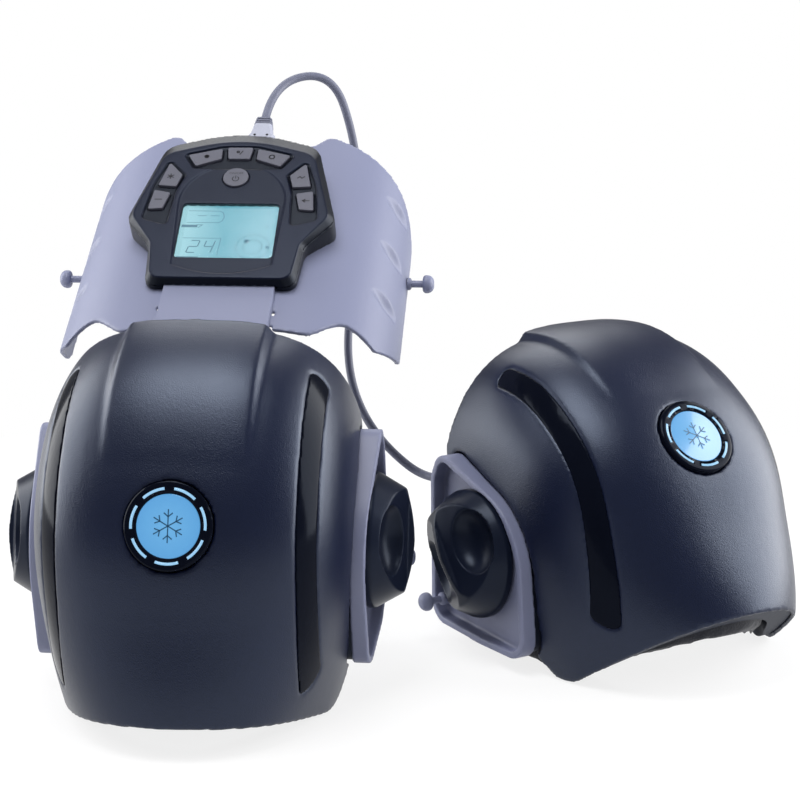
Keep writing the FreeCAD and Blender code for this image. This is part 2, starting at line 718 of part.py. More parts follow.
def dashes(width, slack):
    count = int(size("dash_count"))
    half = 180 / count * size("dash_share") + slack
    edges = []
    for k in range(count):
        edges += arc_slot(size("dash_radius"), width, 90 + 360 / count * k, half)
    return edges


def badge_ring(prefix, place):
    body = new_body(prefix + "badge_ring", place)
    face = size("badge_face")
    outer = size("badge_radius")
    inner = size("lens_radius") + 0.25
    profile = [(inner, face, 0.3), (outer - 0.9, face + 0.2, 0.4), (outer, face - 0.6, 0.3)]
    profile += [(outer, face - 7.5, 0), (outer + size("badge_flange"), face - 7.5, 0)]
    profile += [(outer + size("badge_flange"), face - 9, 0), (17.5, face - 9, 0)]
    profile += [(17.5, face - 4.6, 0), (inner, face - 4.6, 0)]
    revolve(body, "ring", profile)
    return pocket(body, "slots", dashes(size("dash_width"), 0.3), "12", "Sizes.badge_face + 1")


def badge_light_guide(prefix, place):
    body = new_body(prefix + "badge_light_guide", place)
    height = "Sizes.badge_face - 12.2 + Sizes.board_thick"
    pad(body, "ring", [circle(17), circle(24.5)], "1.5", height)
    return pad(body, "dashes", dashes(size("dash_width") - 0.2, 0), "10.75", height)


def badge_lens(prefix, place):
    body = new_body(prefix + "badge_lens", place)
    face = size("badge_face")
    lens = size("lens_radius")
    profile = [(0, face - 4.6, 0), (lens, face - 4.6, 0), (lens, face - 0.5, 0.5), (0, face + 0.1, 0)]
    return revolve(body, "lens", profile)


def on_side(points, side):
    """An outline of (back, height, radius) in the frame of a cheek."""
    return anticlockwise([(side * back, height, radius) for back, height, radius in points])


def side_tray(prefix, name, side, place):
    body = new_body(prefix + name, place)
    outline = on_side(FRAME, side)
    pad(body, "block", rounded(outline), "Sizes.frame_depth", "0")
    deep_cut = "Sizes.frame_depth - Sizes.frame_floor"
    pocket(body, "tray", rounded(inset(outline, size("frame_rim"))), deep_cut, "Sizes.frame_depth")
    room = size("knob_radius") + 1.0
    pocket(body, "knob_room", [circle(room, 0, size("knee_height"))], deep_cut, "Sizes.frame_depth")
    slope = body.newObject("PartDesign::Pocket", body.Name + "_slope")
    depth, fall = size("frame_depth"), size("frame_fall")
    wedge = [(8, depth, 0), (8, depth + 2, 0), (-80, depth + 2, 0), (-80, depth - fall * 88 / 67, 0)]
    slope.Profile = sketch(body, "slope_outline", rounded(on_side(wedge, side)), None, "XZ_Plane")
    slope.Type = "ThroughAll"
    slope.Midplane = True
    post = [circle(size("post_radius"), 0, size("knee_height"))]
    return pad(body, "post", post, "Sizes.frame_depth - 0.3", "0")


def knob(prefix, name, side, place):
    """Rotary knob: skirt, flank, a straight grip ridge under a domed line and a scoop on each side."""
    body = new_body(prefix + name, place)
    bore = size("post_radius") + size("pin_play")
    depth = size("frame_depth") - size("frame_floor") - size("knob_gap") + 0.4
    crown, shoulder, top = size("knob_crown"), size("knob_shoulder"), size("knob_height")
    profile = [(0, depth, 0), (bore, depth, 0), (bore, 0, 0), (size("knob_radius"), 0, 0.6)]
    profile += [(size("knob_radius"), size("knob_skirt"), 1.5), (crown, shoulder, 2.5)]
    profile += [(crown / 2, shoulder + 0.8 * (top - shoulder), 110), (0, top, 0)]
    revolve(body, "cone", profile)
    half, foot = size("grip_width") / 2, size("grip_foot")
    low = foot - (60 - half) * math.tan(math.radians(size("grip_fall")))
    gable = [(half, foot, 1.2), (half, 50, 0), (60, 50, 0), (60, low, 0)]
    slopes = body.newObject("PartDesign::Pocket", body.Name + "_slopes")
    edges = rounded(anticlockwise([tuple(map(float, p)) for p in gable]))
    edges += rounded(anticlockwise([(-float(u), float(v), float(r)) for u, v, r in gable]))
    slopes.Profile = sketch(body, "slopes_outline", edges, None, "XZ_Plane")
    slopes.Type = "ThroughAll"
    slopes.Midplane = True
    for k, way in enumerate((1, -1)):
        scoop = body.newObject("PartDesign::SubtractiveEllipsoid", body.Name + "_scoop%d" % k)
        scoop.Radius1 = size("scoop_depth")
        scoop.Radius2 = size("scoop_width")
        scoop.Radius3 = size("scoop_length")
        scoop.Placement = Placement(Vector(way * size("scoop_reach"), 0, size("scoop_height")), Rotation())
    return body


def knee_unit(which):
    """All pieces of one knee unit, placed on its standing place."""
    stand = standing(which)
    prefix = which + "_"
    right = which == "right"
    stack = local(stand, hood_frame(size("stack_angle"), 0))
    badge = local(stand, hood_frame(size("badge_angle"), 0))
    shaped(prefix + "outer_shell", SHELL.copy(), stand)
    shaped(prefix + "inner_cover", cover_solid(right), stand)
    shaped(prefix + "knee_pad", pad_solid(right), stand)
    shaped(prefix + "trim_strips", STRIPS.copy(), stand)
    shaped(prefix + "strap_studs", STUDS.copy(), stand)
    contact_plate(prefix, stack)
    thermo_module(prefix, stack)
    heat_sink(prefix, stack)
    fan_frame(prefix, stack)
    fan_rotor(prefix, stack)
    circuit_board(prefix, badge)
    badge_ring(prefix, badge)
    badge_lens(prefix, badge)
    badge_light_guide(prefix, badge)
    for name, side in (("left", -1), ("right", 1)):
        side_tray(prefix, "side_frame_" + name, side, local(stand, side_frame(side, size("cheek_face"))))
        lift = size("cheek_face") + size("frame_floor") + size("knob_gap")
        lean = Placement(Vector(0, 0, 0), Rotation(Vector(0, 0, 1), -side * size("grip_lean")))
        seat = side_frame(side, lift)
        seat.Base = seat.Base + Vector(0, 0, size("knee_height"))
        knob(prefix, "knob_" + name, side, local(stand, seat.multiply(lean)))


knee_unit("left")
knee_unit("right")
doc.recompute()


# ---------------------------------------------------------------- thigh plate and link strip
LEFT = standing("left")
PLATE = tilted(size("thigh_tilt"))
FACE = tilted(size("controller_tilt"))
PLAN = (
    (62, -82, 10), (82, -62, 10), (92, -64.5, 8), (104, -71, 8), (140, -77, 0),
    (140, 118, 0), (95, 118, 14), (83, 129, 9), (56, 131, 12), (44, 115, 12),
)
FLANK = (
    (-110, 20, 0), (-110, -28, 0), (-84, -30, 0), (-70, -46, 12),
    (-40, -86, 16), (76, -86, 16), (145, 0, 0), (145, 20, 0),
)


def arch_prism(inward):
    """Solid under the thigh plate's arch, moved in by a distance; it runs along the slope."""
    half = size("thigh_half_width") - inward
    drop = size("thigh_drop") - inward
    top = size("thigh_top") - inward
    full = size("thigh_fullness")
    low = size("thigh_top") - size("thigh_drop")
    points = []
    for k in range(-9, 10):
        turn = math.pi / 2 * k / 9
        u = half * math.copysign(abs(math.sin(turn)) ** (2 / full), k)
        v = low + (top - low) * math.cos(turn) ** (2 / full)
        points.append(Vector(u, -140, v))
    curve = Part.BSplineCurve()
    curve.interpolate(points)
    skirt = [points[-1], points[-1] + Vector(0, 0, -10), points[0] + Vector(0, 0, -10), points[0]]
    lines = [Part.LineSegment(a, b).toShape() for a, b in zip(skirt, skirt[1:])]
    return Part.Face(Part.Wire([curve.toShape()] + lines)).extrude(Vector(0, 300, 0))


def both_halves(points):
    return [tuple(map(float, p)) for p in points] + [(-float(u), float(v), float(r)) for u, v, r in points[::-1]]


def thigh_plate_solid():
    sheet_solid = arch_prism(0).cut(arch_prism(size("thigh_wall")))
    plan = flat_prism(both_halves(PLAN), -120, 20)
    flank = side_prism([tuple(map(float, p)) for p in FLANK], -130, 130)
    body = sheet_solid.common(plan).common(flank)
    slit = size("link_half_width") + 1.2
    for side in (1, -1):
        cut = flat_prism([(side * slit - 1.0, -90, 0), (side * slit + 1.0, -90, 0), (side * slit + 1.0, -60, 0.9), (side * slit - 1.0, -60, 0.9)], -40, 0)
        body = body.cut(cut)
    return body


def link_strip_solid():
    """Flat strip from the top of the thigh plate down to the hinge in the bonnet's mouth."""
    half = size("link_half_width")
    hinge = Vector(0, size("hinge_back"), size("hinge_height"))
    hinge = PLATE.inverse().multVec(hinge)
    top, thick = size("thigh_top") + 2.4, size("link_thick") + 2.0
    bend = -86.0
    profile = [(-40, top, 0), (-40, top - thick, 0), (bend, top - thick, 0)]
    profile += [(hinge.y + 1.0, hinge.z - 2.6, 0), (hinge.y, hinge.z + 2.6, 0), (bend + 2, top, 0)]
    body = side_prism(anticlockwise([tuple(map(float, p)) for p in profile]), -half, half)
    eye = size("knuckle_radius")
    body = body.fuse(Part.makeCylinder(eye, 2 * half, Vector(-half, hinge.y, hinge.z), Vector(1, 0, 0)))
    body = body.cut(Part.makeCylinder(size("hinge_pin") + size("pin_play"), 2 * half + 2, Vector(-half - 1, hinge.y, hinge.z), Vector(1, 0, 0)))
    return body.cut(arch_prism(0).common(flat_prism(both_halves(PLAN), -120, 20)))


def stud_pair_on_plate():
    studs = []
    for side in (1, -1):
        stud = stud_solid(19.0)
        stud.Placement = side_frame(side, size("thigh_half_width") + 0.05)
        stud.translate(Vector(0, size("thigh_stud_back"), size("thigh_stud_drop")))
        studs.append(stud)
    return Part.makeCompound(studs)


shaped("thigh_plate", thigh_plate_solid(), local(LEFT, PLATE))
shaped("link_strip", link_strip_solid(), local(LEFT, PLATE))
shaped("plate_studs", stud_pair_on_plate(), local(LEFT, PLATE))

pin_turn = Rotation(Vector(0, 1, 0), Vector(0, 0, 1), Vector(1, 0, 0), "XYZ")
pin_place = Placement(Vector(0, size("hinge_back"), size("hinge_height")), pin_turn)
hinge_body = new_body("hinge_pin", local(LEFT, pin_place))
hinge_half = size("link_half_width") + 0.6 + size("lug_width")
pad(hinge_body, "pin", [circle(size("hinge_pin"))], str(2 * hinge_half), str(-hinge_half))

# ---------------------------------------------------------------- controller
BASE_RIM = ((54, 86, 16), (72, 14, 12), (53, -10, 14), (50.5, -47, 9))
BASE_APEX = (0.0, 104.0, 100.0)
FACE_RIM = ((52, 73, 15), (67.5, 14, 11), (50.5, -12, 13), (47, -43.5, 8))
FACE_APEX = (0.0, 89.5, 90.0)
BUTTONS = {
    "button_top": ((-9, 79.3), (-7.5, 68), (7.5, 68), (9, 79.3)),
    "button_upper": ((12.5, 78), (12.3, 67.8), (29.5, 60.8), (36, 71.5)),
    "button_middle": ((37.5, 52), (47.8, 64), (53, 41.5), (40.5, 40.5)),
    "button_lower": ((43.5, 34.5), (55, 37), (57, 18.5), (47, 19.5)),
}
TOP_TRACK = ((31, 58.5, 2), (39.5, 72.5, 3), (12, 81.0, 30))
SIDE_TRACK = ((42, 4, 3), (60.5, 10, 4), (56.5, 43, 30), (48.5, 67.5, 3), (35, 52.5, 2), (40, 36, 20))


def rim(points, apex):
    half = [tuple(map(float, p)) for p in points]
    return anticlockwise([apex] + half + [(-u, v, r) for u, v, r in half[::-1]])


def flipped(points):
    return [(-u, v) + tuple(rest) for u, v, *rest in points]


def floats(points):
    return anticlockwise([tuple(map(float, p)) for p in points])


def panel(inward):
    """Display panel outline: round top, slightly drawn in sides, arched bottom."""
    wide, top, low = 37 - inward, 63 - inward, -40 + inward
    foot = 34 - inward
    return [
        Part.Arc(Vector(wide, 26, 0), Vector(0, top, 0), Vector(-wide, 26, 0)),
        Part.LineSegment(Vector(-wide, 26, 0), Vector(-foot, low + 8, 0)),
        Part.Arc(Vector(-foot, low + 8, 0), Vector(0, low, 0), Vector(foot, low + 8, 0)),
        Part.LineSegment(Vector(foot, low + 8, 0), Vector(wide, 26, 0)),
    ]


def button_outlines():
    """All seven buttons: name and corners, left ones mirrored from the right ones."""
    outlines = {}
    for name, corners in BUTTONS.items():
        if name == "button_top":
            outlines[name] = floats([(u, v, 1.2) for u, v in corners])
            continue
        outlines[name + "_right"] = floats([(u, v, 1.2) for u, v in corners])
        outlines[name + "_left"] = floats([(-u, v, 1.2) for u, v in corners])
    return outlines


def controller_cover():
    body = new_body("controller_cover", local(LEFT, FACE))
    loft = body.newObject("PartDesign::AdditiveLoft", "cover_loft")
    loft.Profile = sketch(body, "cover_low", rounded(rim(BASE_RIM, BASE_APEX)), "-Sizes.face_thick")
    loft.Sections = [sketch(body, "cover_high", rounded(rim(FACE_RIM, FACE_APEX)), "0")]
    loft.Ruled = True
    inner = rounded(inset(rim(FACE_RIM, FACE_APEX), 1.5))
    pocket(body, "room", inner, "Sizes.face_thick - Sizes.web_drop", "-Sizes.web_drop")
    pocket(body, "top_track", rounded(floats(list(TOP_TRACK) + flipped(TOP_TRACK[::-1]))), "Sizes.track_drop", "0")
    pocket(body, "right_track", rounded(floats(SIDE_TRACK)), "Sizes.track_drop", "0")
    pocket(body, "left_track", rounded(floats(flipped(SIDE_TRACK))), "Sizes.track_drop", "0")
    pocket(body, "panel", panel(0), "Sizes.panel_drop", "0")
    holes = rectangle(size("lcd_width"), size("lcd_length"), 3)
    holes += [circle(size("power_radius") + size("button_play"), 0, size("power_place"))]
    for outline in button_outlines().values():
        holes += rounded(inset(outline, -size("button_play")))
    pocket(body, "openings", holes, "Sizes.web_drop + 1", "1")
    room = rectangle(2 * (size("link_half_width") + size("seat_gap")), 14, 0, 0, -47)
    pocket(body, "strip_room", room, "1", "0.9 - Sizes.face_thick")
    return body


def socket():
    """Seat for the plug at the top edge of the controller."""
    width, thick = size("plug_width") + 1.4, size("plug_thick") + 1.4
    seat = Part.makeBox(width, 30, thick, Vector(size("plug_place") - width / 2, 96.5, -size("plug_drop") - thick / 2))
    return seat.fuse(Part.makeCylinder(4.1, 10, Vector(size("plug_place"), 88, -size("plug_drop")), Vector(0, 1, 0)))


def controller_base():
    """Base of the controller; its underside follows the thigh plate."""
    rise = size("controller_tilt") - size("thigh_tilt")
    slope = Placement(Vector(0, 0, 0), Rotation(Vector(1, 0, 0), -rise))
    under = arch_prism(0)
    under.Placement = slope.multiply(under.Placement)
    floor = Part.makeBox(200, 300, 60, Vector(-100, -150, size("thigh_top") + 2.0))
    floor.Placement = slope.multiply(floor.Placement)
    top = -size("face_thick")
    block = flat_prism(rim(BASE_RIM, BASE_APEX), top - 26, top).cut(under)
    room = flat_prism(inset(rim(BASE_RIM, BASE_APEX), size("cover_side")), top - 26, top + 1).common(floor)
    notch = size("link_half_width") + size("seat_gap")
    top = size("thigh_top") + 2.4 + size("seat_gap")
    strip = Part.makeBox(2 * notch, 80, 10, Vector(-notch, -119.7, top - 10))
    strip.Placement = slope.multiply(strip.Placement)
    return block.cut(room).cut(strip)


def controller_parts():
    place = local(LEFT, FACE)
    cover = controller_cover()
    doc.recompute()
    shaped("controller_base", controller_base().cut(socket()), place)
    window = new_body("lcd_window", place)
    gap = 2 * size("button_play")
    outline = rectangle(size("lcd_width") - gap, size("lcd_length") - gap, 3)
    pad(window, "window", outline, "Sizes.web_drop - Sizes.window_drop", "-Sizes.web_drop")
    module = new_body("lcd_module", place)
    border = 2 * size("module_border")
    outline = rectangle(size("lcd_width") + border, size("lcd_length") + border, 2)
    pad(module, "module", outline, "3.6", "-Sizes.web_drop - 3.6")
    board = new_body("controller_board", place)
    outline = floats([(44, -14, 3), (60, 16, 5), (46, 64, 8), (18, 76, 20), (-18, 76, 20), (-46, 64, 8), (-60, 16, 5), (-44, -14, 3)])
    pad(board, "board", rounded(outline), "Sizes.board_thick", "-9.6")
    for name, outline in button_outlines().items():
        key = new_body(name, place)
        pad(key, "cap", rounded(outline), "Sizes.web_drop + 0.8", "-Sizes.web_drop - 0.5")
        pad(key, "flange", rounded(inset(outline, -size("button_flange"))), "1", "-Sizes.web_drop - 1.02")
        mid_u = sum(p[0] for p in outline) / 4
        mid_v = sum(p[1] for p in outline) / 4
        pad(key, "stem", [circle(2, mid_u, mid_v)], "2.6", "-7.0")
    power = new_body("power_button", place)
    spot = (0, size("power_place"))
    pad(power, "cap", [circle(size("power_radius"), *spot)], "Sizes.web_drop + 0.9", "-Sizes.web_drop - 0.5")
    pad(power, "flange", [circle(size("power_radius") + size("button_flange"), *spot)], "1", "-Sizes.web_drop - 1.02")
    pad(power, "stem", [circle(2.5, *spot)], "2.6", "-7.0")


controller_parts()

# ---------------------------------------------------------------- plug, cord and gland
ALONG = Rotation(Vector(1, 0, 0), Vector(0, 0, -1), Vector(0, 1, 0), "XYZ")
PLUG_SEAT = Placement(Vector(size("plug_place"), 96.5, -size("plug_drop")), ALONG)
plug_place = local(local(LEFT, FACE), PLUG_SEAT)


def plug_section(share, slack=0.0):
    """Outline of the moulded plug, narrower towards the cord, with its two front edges cut off."""
    wide = size("plug_width") * (1 - 0.42 * share) / 2 + slack
    thick = size("plug_thick") * (1 - 0.04 * share) / 2 + slack
    cut = 2.6 * (1 - 0.3 * share)
    corners = [(wide - cut * 0.75, -thick, 0.8), (wide, -thick + cut, 0.8), (wide, thick, 1.4)]
    corners += [(-u, v, r) for u, v, r in corners[::-1]]
    return rounded(anticlockwise(corners))


def plug_body(long, whole):
    body = new_body("cord_plug", plug_place)
    pad(body, "nose", [circle(3.9)], "7.5", "-7")
    loft = body.newObject("PartDesign::AdditiveLoft", "plug_form")
    loft.Profile = sketch(body, "plug_foot", plug_section(0), "0")
    loft.Sections = [sketch(body, "plug_neck", plug_section(long / whole), "Sizes.plug_length")]
    loft.Ruled = True
    pad(body, "band", plug_section(0, 0.35), "Sizes.plug_band", "0")
    return body


def relief_body(long, whole):
    """Ribbed relief at the end of the plug, with a bore for the cord."""
    body = new_body("plug_strain_relief", local(plug_place, Placement(Vector(0, 0, long), Rotation())))
    bore = circle(size("cord_radius") + size("pin_play"))
    pad(body, "core", plug_section(1, -0.7) + [bore], "Sizes.relief_length", "0")
    for k in range(3):
        low = 0.5 + 2.3 * k
        outline = plug_section((long + low) / whole) + [bore]
        pad(body, "rib%d" % k, outline, "Sizes.relief_rib", str(low))
    return body


long = size("plug_length")
plug_whole = long + size("relief_length")
plug = plug_body(long, plug_whole)
relief = relief_body(long, plug_whole)

RIGHT = standing("right")
gland_turn = Rotation(Vector(1, 0, 0), Vector(0, 0, -1), Vector(0, 1, 0), "XYZ")
gland_place = local(RIGHT, Placement(GLAND, gland_turn))
gland = new_body("cable_gland", gland_place)
bore = size("cord_radius")
revolve(gland, "gland", [(bore, 0, 0), (6.2, 0, 0), (6.2, 3, 0.5), (5.4, 3, 0), (5.0, 8, 1), (4.2, 11, 0.5), (bore, 11, 0)])
doc.recompute()

# Places the cord passes through, from the plug to the gland, in the frame of the whole.
CORD = (
    (-54.0, 197.5, 385.0),
    (-37.0, 197.5, 333.0),
    (-34.5, 195.5, 281.0),
    (-37.0, 185.5, 236.0),
    (-44.0, 149.5, 189.0),
    (-37.0, 131.5, 151.0),
    (-16.0, 109.5, 122.0),
)


def cord_route():
    first = plug_place.multVec(Vector(0, 0, long))
    second = plug_place.multVec(Vector(0, 0, 62))
    last = gland_place.multVec(Vector(0, 0, 0))
    ahead = gland_place.multVec(Vector(0, 0, 38))
    return [first, second] + [Vector(*p) for p in CORD] + [ahead, last]


def cord_wire(points):
    """Straight runs joined by tangent arcs."""
    edges = []
    start = points[0]
    for before, here, after in zip(points, points[1:], points[2:]):
        back, fore = (before - here), (after - here)
        shorter = min(back.Length, fore.Length)
        half = (math.pi - back.getAngle(fore)) / 2
        reach = 0.45 * shorter
        radius = reach / math.tan(half)
        print("cord bend radius %.1f, turn %.0f, run %.1f" % (radius, math.degrees(2 * half), back.Length))
        a = here + back.normalize() * reach
        b = here + fore.normalize() * reach
        bisector = (back + fore).normalize()
        middle = here + bisector * (radius / math.cos(half) - radius)
        edges.append(Part.LineSegment(start, a).toShape())
        edges.append(Part.Arc(a, middle, b).toShape())
        start = b
    edges.append(Part.LineSegment(start, points[-1]).toShape())
    return Part.Wire(edges)


route = cord_wire(cord_route())
tangent = (cord_route()[1] - cord_route()[0]).normalize()
ring = Part.Wire([Part.Circle(cord_route()[0], tangent, size("cord_radius")).toShape()])
cord = doc.addObject("Part::Feature", "controller_cord")
cord.Shape = Part.Solid(Part.Shell(route.makePipeShell([ring], True, True).Faces))
keep(cord, "controller_cord")
print("cord length %.1f, volume %.0f, section x length %.0f" % (route.Length, cord.Shape.Volume, route.Length * math.pi * size("cord_radius") ** 2))

# ---------------------------------------------------------------- check and export
doc.recompute()
for item in doc.Objects:
    if "Invalid" in item.State or "Error" in item.State:
        raise RuntimeError("object does not build: " + item.Name)
os.makedirs("parts", exist_ok=True)
box = FreeCAD.BoundBox()
for node in NODES:
    if node.Shape.isNull() or not node.Shape.isValid():
        raise RuntimeError("shape is not valid: " + node.Label)
    if node.Shape.Volume <= 0:
        raise RuntimeError("shape has no volume: " + node.Label)
    box.add(node.Shape.BoundBox)
    node.Shape.exportStep("parts/" + node.Label + ".step")
print("nodes", len(NODES), "box", box)
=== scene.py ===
import math

import bpy
from mathutils import Matrix, Vector


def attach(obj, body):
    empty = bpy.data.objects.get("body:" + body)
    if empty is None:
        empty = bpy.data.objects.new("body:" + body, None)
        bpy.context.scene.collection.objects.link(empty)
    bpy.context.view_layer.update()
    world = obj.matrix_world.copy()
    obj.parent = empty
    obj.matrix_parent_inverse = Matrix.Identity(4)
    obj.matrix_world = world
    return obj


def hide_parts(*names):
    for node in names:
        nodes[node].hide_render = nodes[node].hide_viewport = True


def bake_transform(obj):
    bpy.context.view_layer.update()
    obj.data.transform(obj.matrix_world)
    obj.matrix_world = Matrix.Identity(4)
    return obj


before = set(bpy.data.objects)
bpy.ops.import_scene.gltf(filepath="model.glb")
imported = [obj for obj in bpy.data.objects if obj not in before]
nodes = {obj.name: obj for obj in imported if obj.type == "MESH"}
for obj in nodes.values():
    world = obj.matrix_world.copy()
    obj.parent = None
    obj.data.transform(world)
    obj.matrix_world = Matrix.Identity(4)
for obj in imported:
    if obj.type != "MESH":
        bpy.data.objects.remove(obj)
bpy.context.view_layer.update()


# ---------------------------------------------------------------- studio
# A pale board under the pair, a soft box above, one on each side and a weaker one
# behind. The camera stands 1.2 m in front, a little higher than the thigh plate.
LENS = 85.64
SENSOR_WIDTH = 36
CAMERA_PLACE = (-0.00403, -1.2256, 0.4567)
CAMERA_DIP = math.radians(12.70)
CAMERA_REACH = 50

# name: place, point that it is aimed at, width in metres, power in watts
SOFT_BOXES = {
    "soft_box_above": ((-0.25, -0.25, 1.45), (0, 0, 0.15), 0.7, 15),
    "soft_box_left": ((-1.30, 0.35, 0.60), (-0.1, 0, 0.15), 1.2, 23),
    "soft_box_right": ((1.35, 0.25, 0.55), (0.1, 0, 0.15), 1.4, 40),
    "soft_box_behind": ((-0.10, 1.20, 1.25), (0, 0, 0.2), 1.0, 9),
}
WORLD_ON_SURFACES = 0.5
WORLD_SEEN = 1.0
WORLD_LESS_IN_GLOSS = -0.3
BOARD_SIZE = 8
BOARD_WHITE_FROM = 0.2
BOARD_WHITE_AT = 0.75
BOARD_WHITE_NEAR = 0.8

camera = bpy.data.objects.new("camera", bpy.data.cameras.new("camera"))
bpy.context.scene.collection.objects.link(camera)
camera.location = CAMERA_PLACE
camera.rotation_euler = (math.radians(90) - CAMERA_DIP, 0, 0)
camera.data.lens = LENS
camera.data.sensor_width = SENSOR_WIDTH
camera.data.clip_end = CAMERA_REACH
bpy.context.scene.camera = camera
bpy.context.scene.view_settings.view_transform = "Standard"


class Tap:
    """One output in a finish's nodes. Sums and products with numbers or other taps add Math nodes."""

    def __init__(self, finish, socket):
        self.finish = finish
        self.socket = socket

    def math(self, operation, *values):
        return self.finish.node("ShaderNodeMath", dict(enumerate(values)), operation=operation)

    def __add__(self, other):
        return self.math("ADD", self, other)

    def __radd__(self, other):
        return self.math("ADD", other, self)

    def __sub__(self, other):
        return self.math("SUBTRACT", self, other)

    def __rsub__(self, other):
        return self.math("SUBTRACT", other, self)

    def __mul__(self, other):
        return self.math("MULTIPLY", self, other)

    def __rmul__(self, other):
        return self.math("MULTIPLY", other, self)


class Finish:
    """A material with its shader. Numbers in the call are set on the shader's own sockets."""

    def __init__(self, name, kind="ShaderNodeBsdfPrincipled", **sockets):
        self.material = bpy.data.materials.new(name)
        self.material.use_nodes = True
        self.tree = self.material.node_tree
        self.tree.nodes.clear()
        self.shader = self.tree.nodes.new(kind)
        self.output = self.tree.nodes.new("ShaderNodeOutputMaterial")
        self.tree.links.new(self.shader.outputs[0], self.output.inputs[0])
        for socket, value in sockets.items():
            self.feed(self.shader, socket.replace("_", " "), value)

    def feed(self, node, socket, value):
        if isinstance(value, Tap):
            self.tree.links.new(value.socket, node.inputs[socket])
        else:
            node.inputs[socket].default_value = value

    def set(self, socket, value):
        self.feed(self.shader, socket, value)

    def node(self, kind, sockets=None, output=0, stops=None, **settings):
        """Any node: its settings and ramp stops first, then the values or taps of its sockets."""
        made = self.tree.nodes.new(kind)
        for setting, value in settings.items():
            setattr(made, setting, value)
        for place, value in enumerate(stops or ()):
            ramp = made.color_ramp.elements
            stop = ramp[place] if place < 2 else ramp.new(value[0])
            stop.position, stop.color = value
        for socket, value in (sockets or {}).items():
            self.feed(made, socket, value)
        return Tap(self, made.outputs[output])

    def place(self):
        return self.node("ShaderNodeTexCoord", output="Object")

    def noise(self, scale, detail=2.0, vector=None):
        inputs = {"Vector": vector or self.place(), "Scale": scale, "Detail": detail, "Roughness": 0.5}
        return self.node("ShaderNodeTexNoise", inputs)

    def along(self, start, direction):
        """How far a point lies from a start in a direction, in metres."""
        away = self.node("ShaderNodeVectorMath", {0: self.place(), 1: tuple(start)}, operation="SUBTRACT")
        inputs = {0: away, 1: tuple(direction)}
        return self.node("ShaderNodeVectorMath", inputs, output="Value", operation="DOT_PRODUCT")

    def blend(self, share, first, second):
        """Between two colours by a share."""
        return self.node("ShaderNodeMix", {0: share, 6: first, 7: second}, output=2, data_type="RGBA")

    def bump(self, height, strength, distance):
        inputs = {"Strength": strength, "Distance": distance, "Height": height}
        self.set("Normal", self.node("ShaderNodeBump", inputs))

    def glow(self, colour, strength):
        self.set("Emission Color", colour)
        self.set("Emission Strength", strength)


for name, (place, aim, width, power) in SOFT_BOXES.items():
    data = bpy.data.lights.new(name, "AREA")
    data.shape = "SQUARE"
    data.size = width
    data.energy = power
    lamp = bpy.data.objects.new(name, data)
    bpy.context.scene.collection.objects.link(lamp)
    lamp.location = place
    lamp.rotation_euler = (Vector(aim) - Vector(place)).to_track_quat("-Z", "Y").to_euler()

# The world is white to the camera, and dimmer where it lights a surface or is reflected.
world = bpy.data.worlds.new("studio")
bpy.context.scene.world = world
world.use_nodes = True
air = world.node_tree
air.nodes.clear()
sky = air.nodes.new("ShaderNodeBackground")
sky.inputs["Color"].default_value = (1, 1, 1, 1)
rays = air.nodes.new("ShaderNodeLightPath")
seen = air.nodes.new("ShaderNodeMath")
seen.operation = "MAXIMUM"
air.links.new(rays.outputs["Is Camera Ray"], seen.inputs[0])
air.links.new(rays.outputs["Is Transmission Ray"], seen.inputs[1])
level = air.nodes.new("ShaderNodeMapRange")
level.inputs["To Min"].default_value = WORLD_ON_SURFACES
level.inputs["To Max"].default_value = WORLD_SEEN
air.links.new(seen.outputs[0], level.inputs["Value"])
dimmed = air.nodes.new("ShaderNodeMath")
dimmed.operation = "MULTIPLY_ADD"
dimmed.inputs[1].default_value = WORLD_LESS_IN_GLOSS
air.links.new(rays.outputs["Is Glossy Ray"], dimmed.inputs[0])
air.links.new(level.outputs[0], dimmed.inputs[2])
air.links.new(dimmed.outputs[0], sky.inputs["Strength"])
air.links.new(sky.outputs[0], air.nodes.new("ShaderNodeOutputWorld").inputs[0])

# The board glows where it is seen, so that it runs out into the white.
bpy.ops.object.select_all(action="DESELECT")
bpy.ops.mesh.primitive_plane_add(size=BOARD_SIZE, location=(0, 0, 0))
floor = bpy.context.active_object
floor.name = "table_board"
paper = Finish("table_board", "ShaderNodeBsdfDiffuse", Color=(0.86, 0.86, 0.87, 1))
glow = paper.tree.nodes.new("ShaderNodeEmission")
path = paper.tree.nodes.new("ShaderNodeLightPath")
by_camera, by_gloss, by_glass = (
    Tap(paper, path.outputs[ray]) for ray in ("Is Camera Ray", "Is Glossy Ray", "Is Transmission Ray")
)
is_seen = by_camera.math("MAXIMUM", by_camera, by_gloss)
is_seen = is_seen.math("MAXIMUM", is_seen, by_glass)
away = paper.node("ShaderNodeVectorMath", {0: paper.place()}, output="Value", operation="LENGTH")
white_share = paper.node(
    "ShaderNodeMapRange",
    {
        "Value": away,
        "From Min": BOARD_WHITE_FROM,
        "From Max": BOARD_WHITE_AT,
        "To Min": BOARD_WHITE_NEAR,
        "To Max": 1.0,
    },
)
mixed = paper.node(
    "ShaderNodeMixShader",
    {0: is_seen * white_share, 1: Tap(paper, paper.shader.outputs[0]), 2: Tap(paper, glow.outputs[0])},
)
paper.tree.links.new(mixed.socket, paper.output.inputs[0])
floor.data.materials.append(paper.material)


# ---------------------------------------------------------------- where the two units stand
# The two knee units are the same assembly. The left one stands almost upright, and the
# right one leans back on its lobes. All sizes here are in metres.
def standing(across, back, lift, turn, lean):
    """Where a unit stands, in millimetres and degrees."""
    spin = Matrix.Rotation(math.radians(turn), 4, "Z") @ Matrix.Rotation(math.radians(lean), 4, "X")
    return Matrix.Translation((across / 1000, back / 1000, lift / 1000)) @ spin


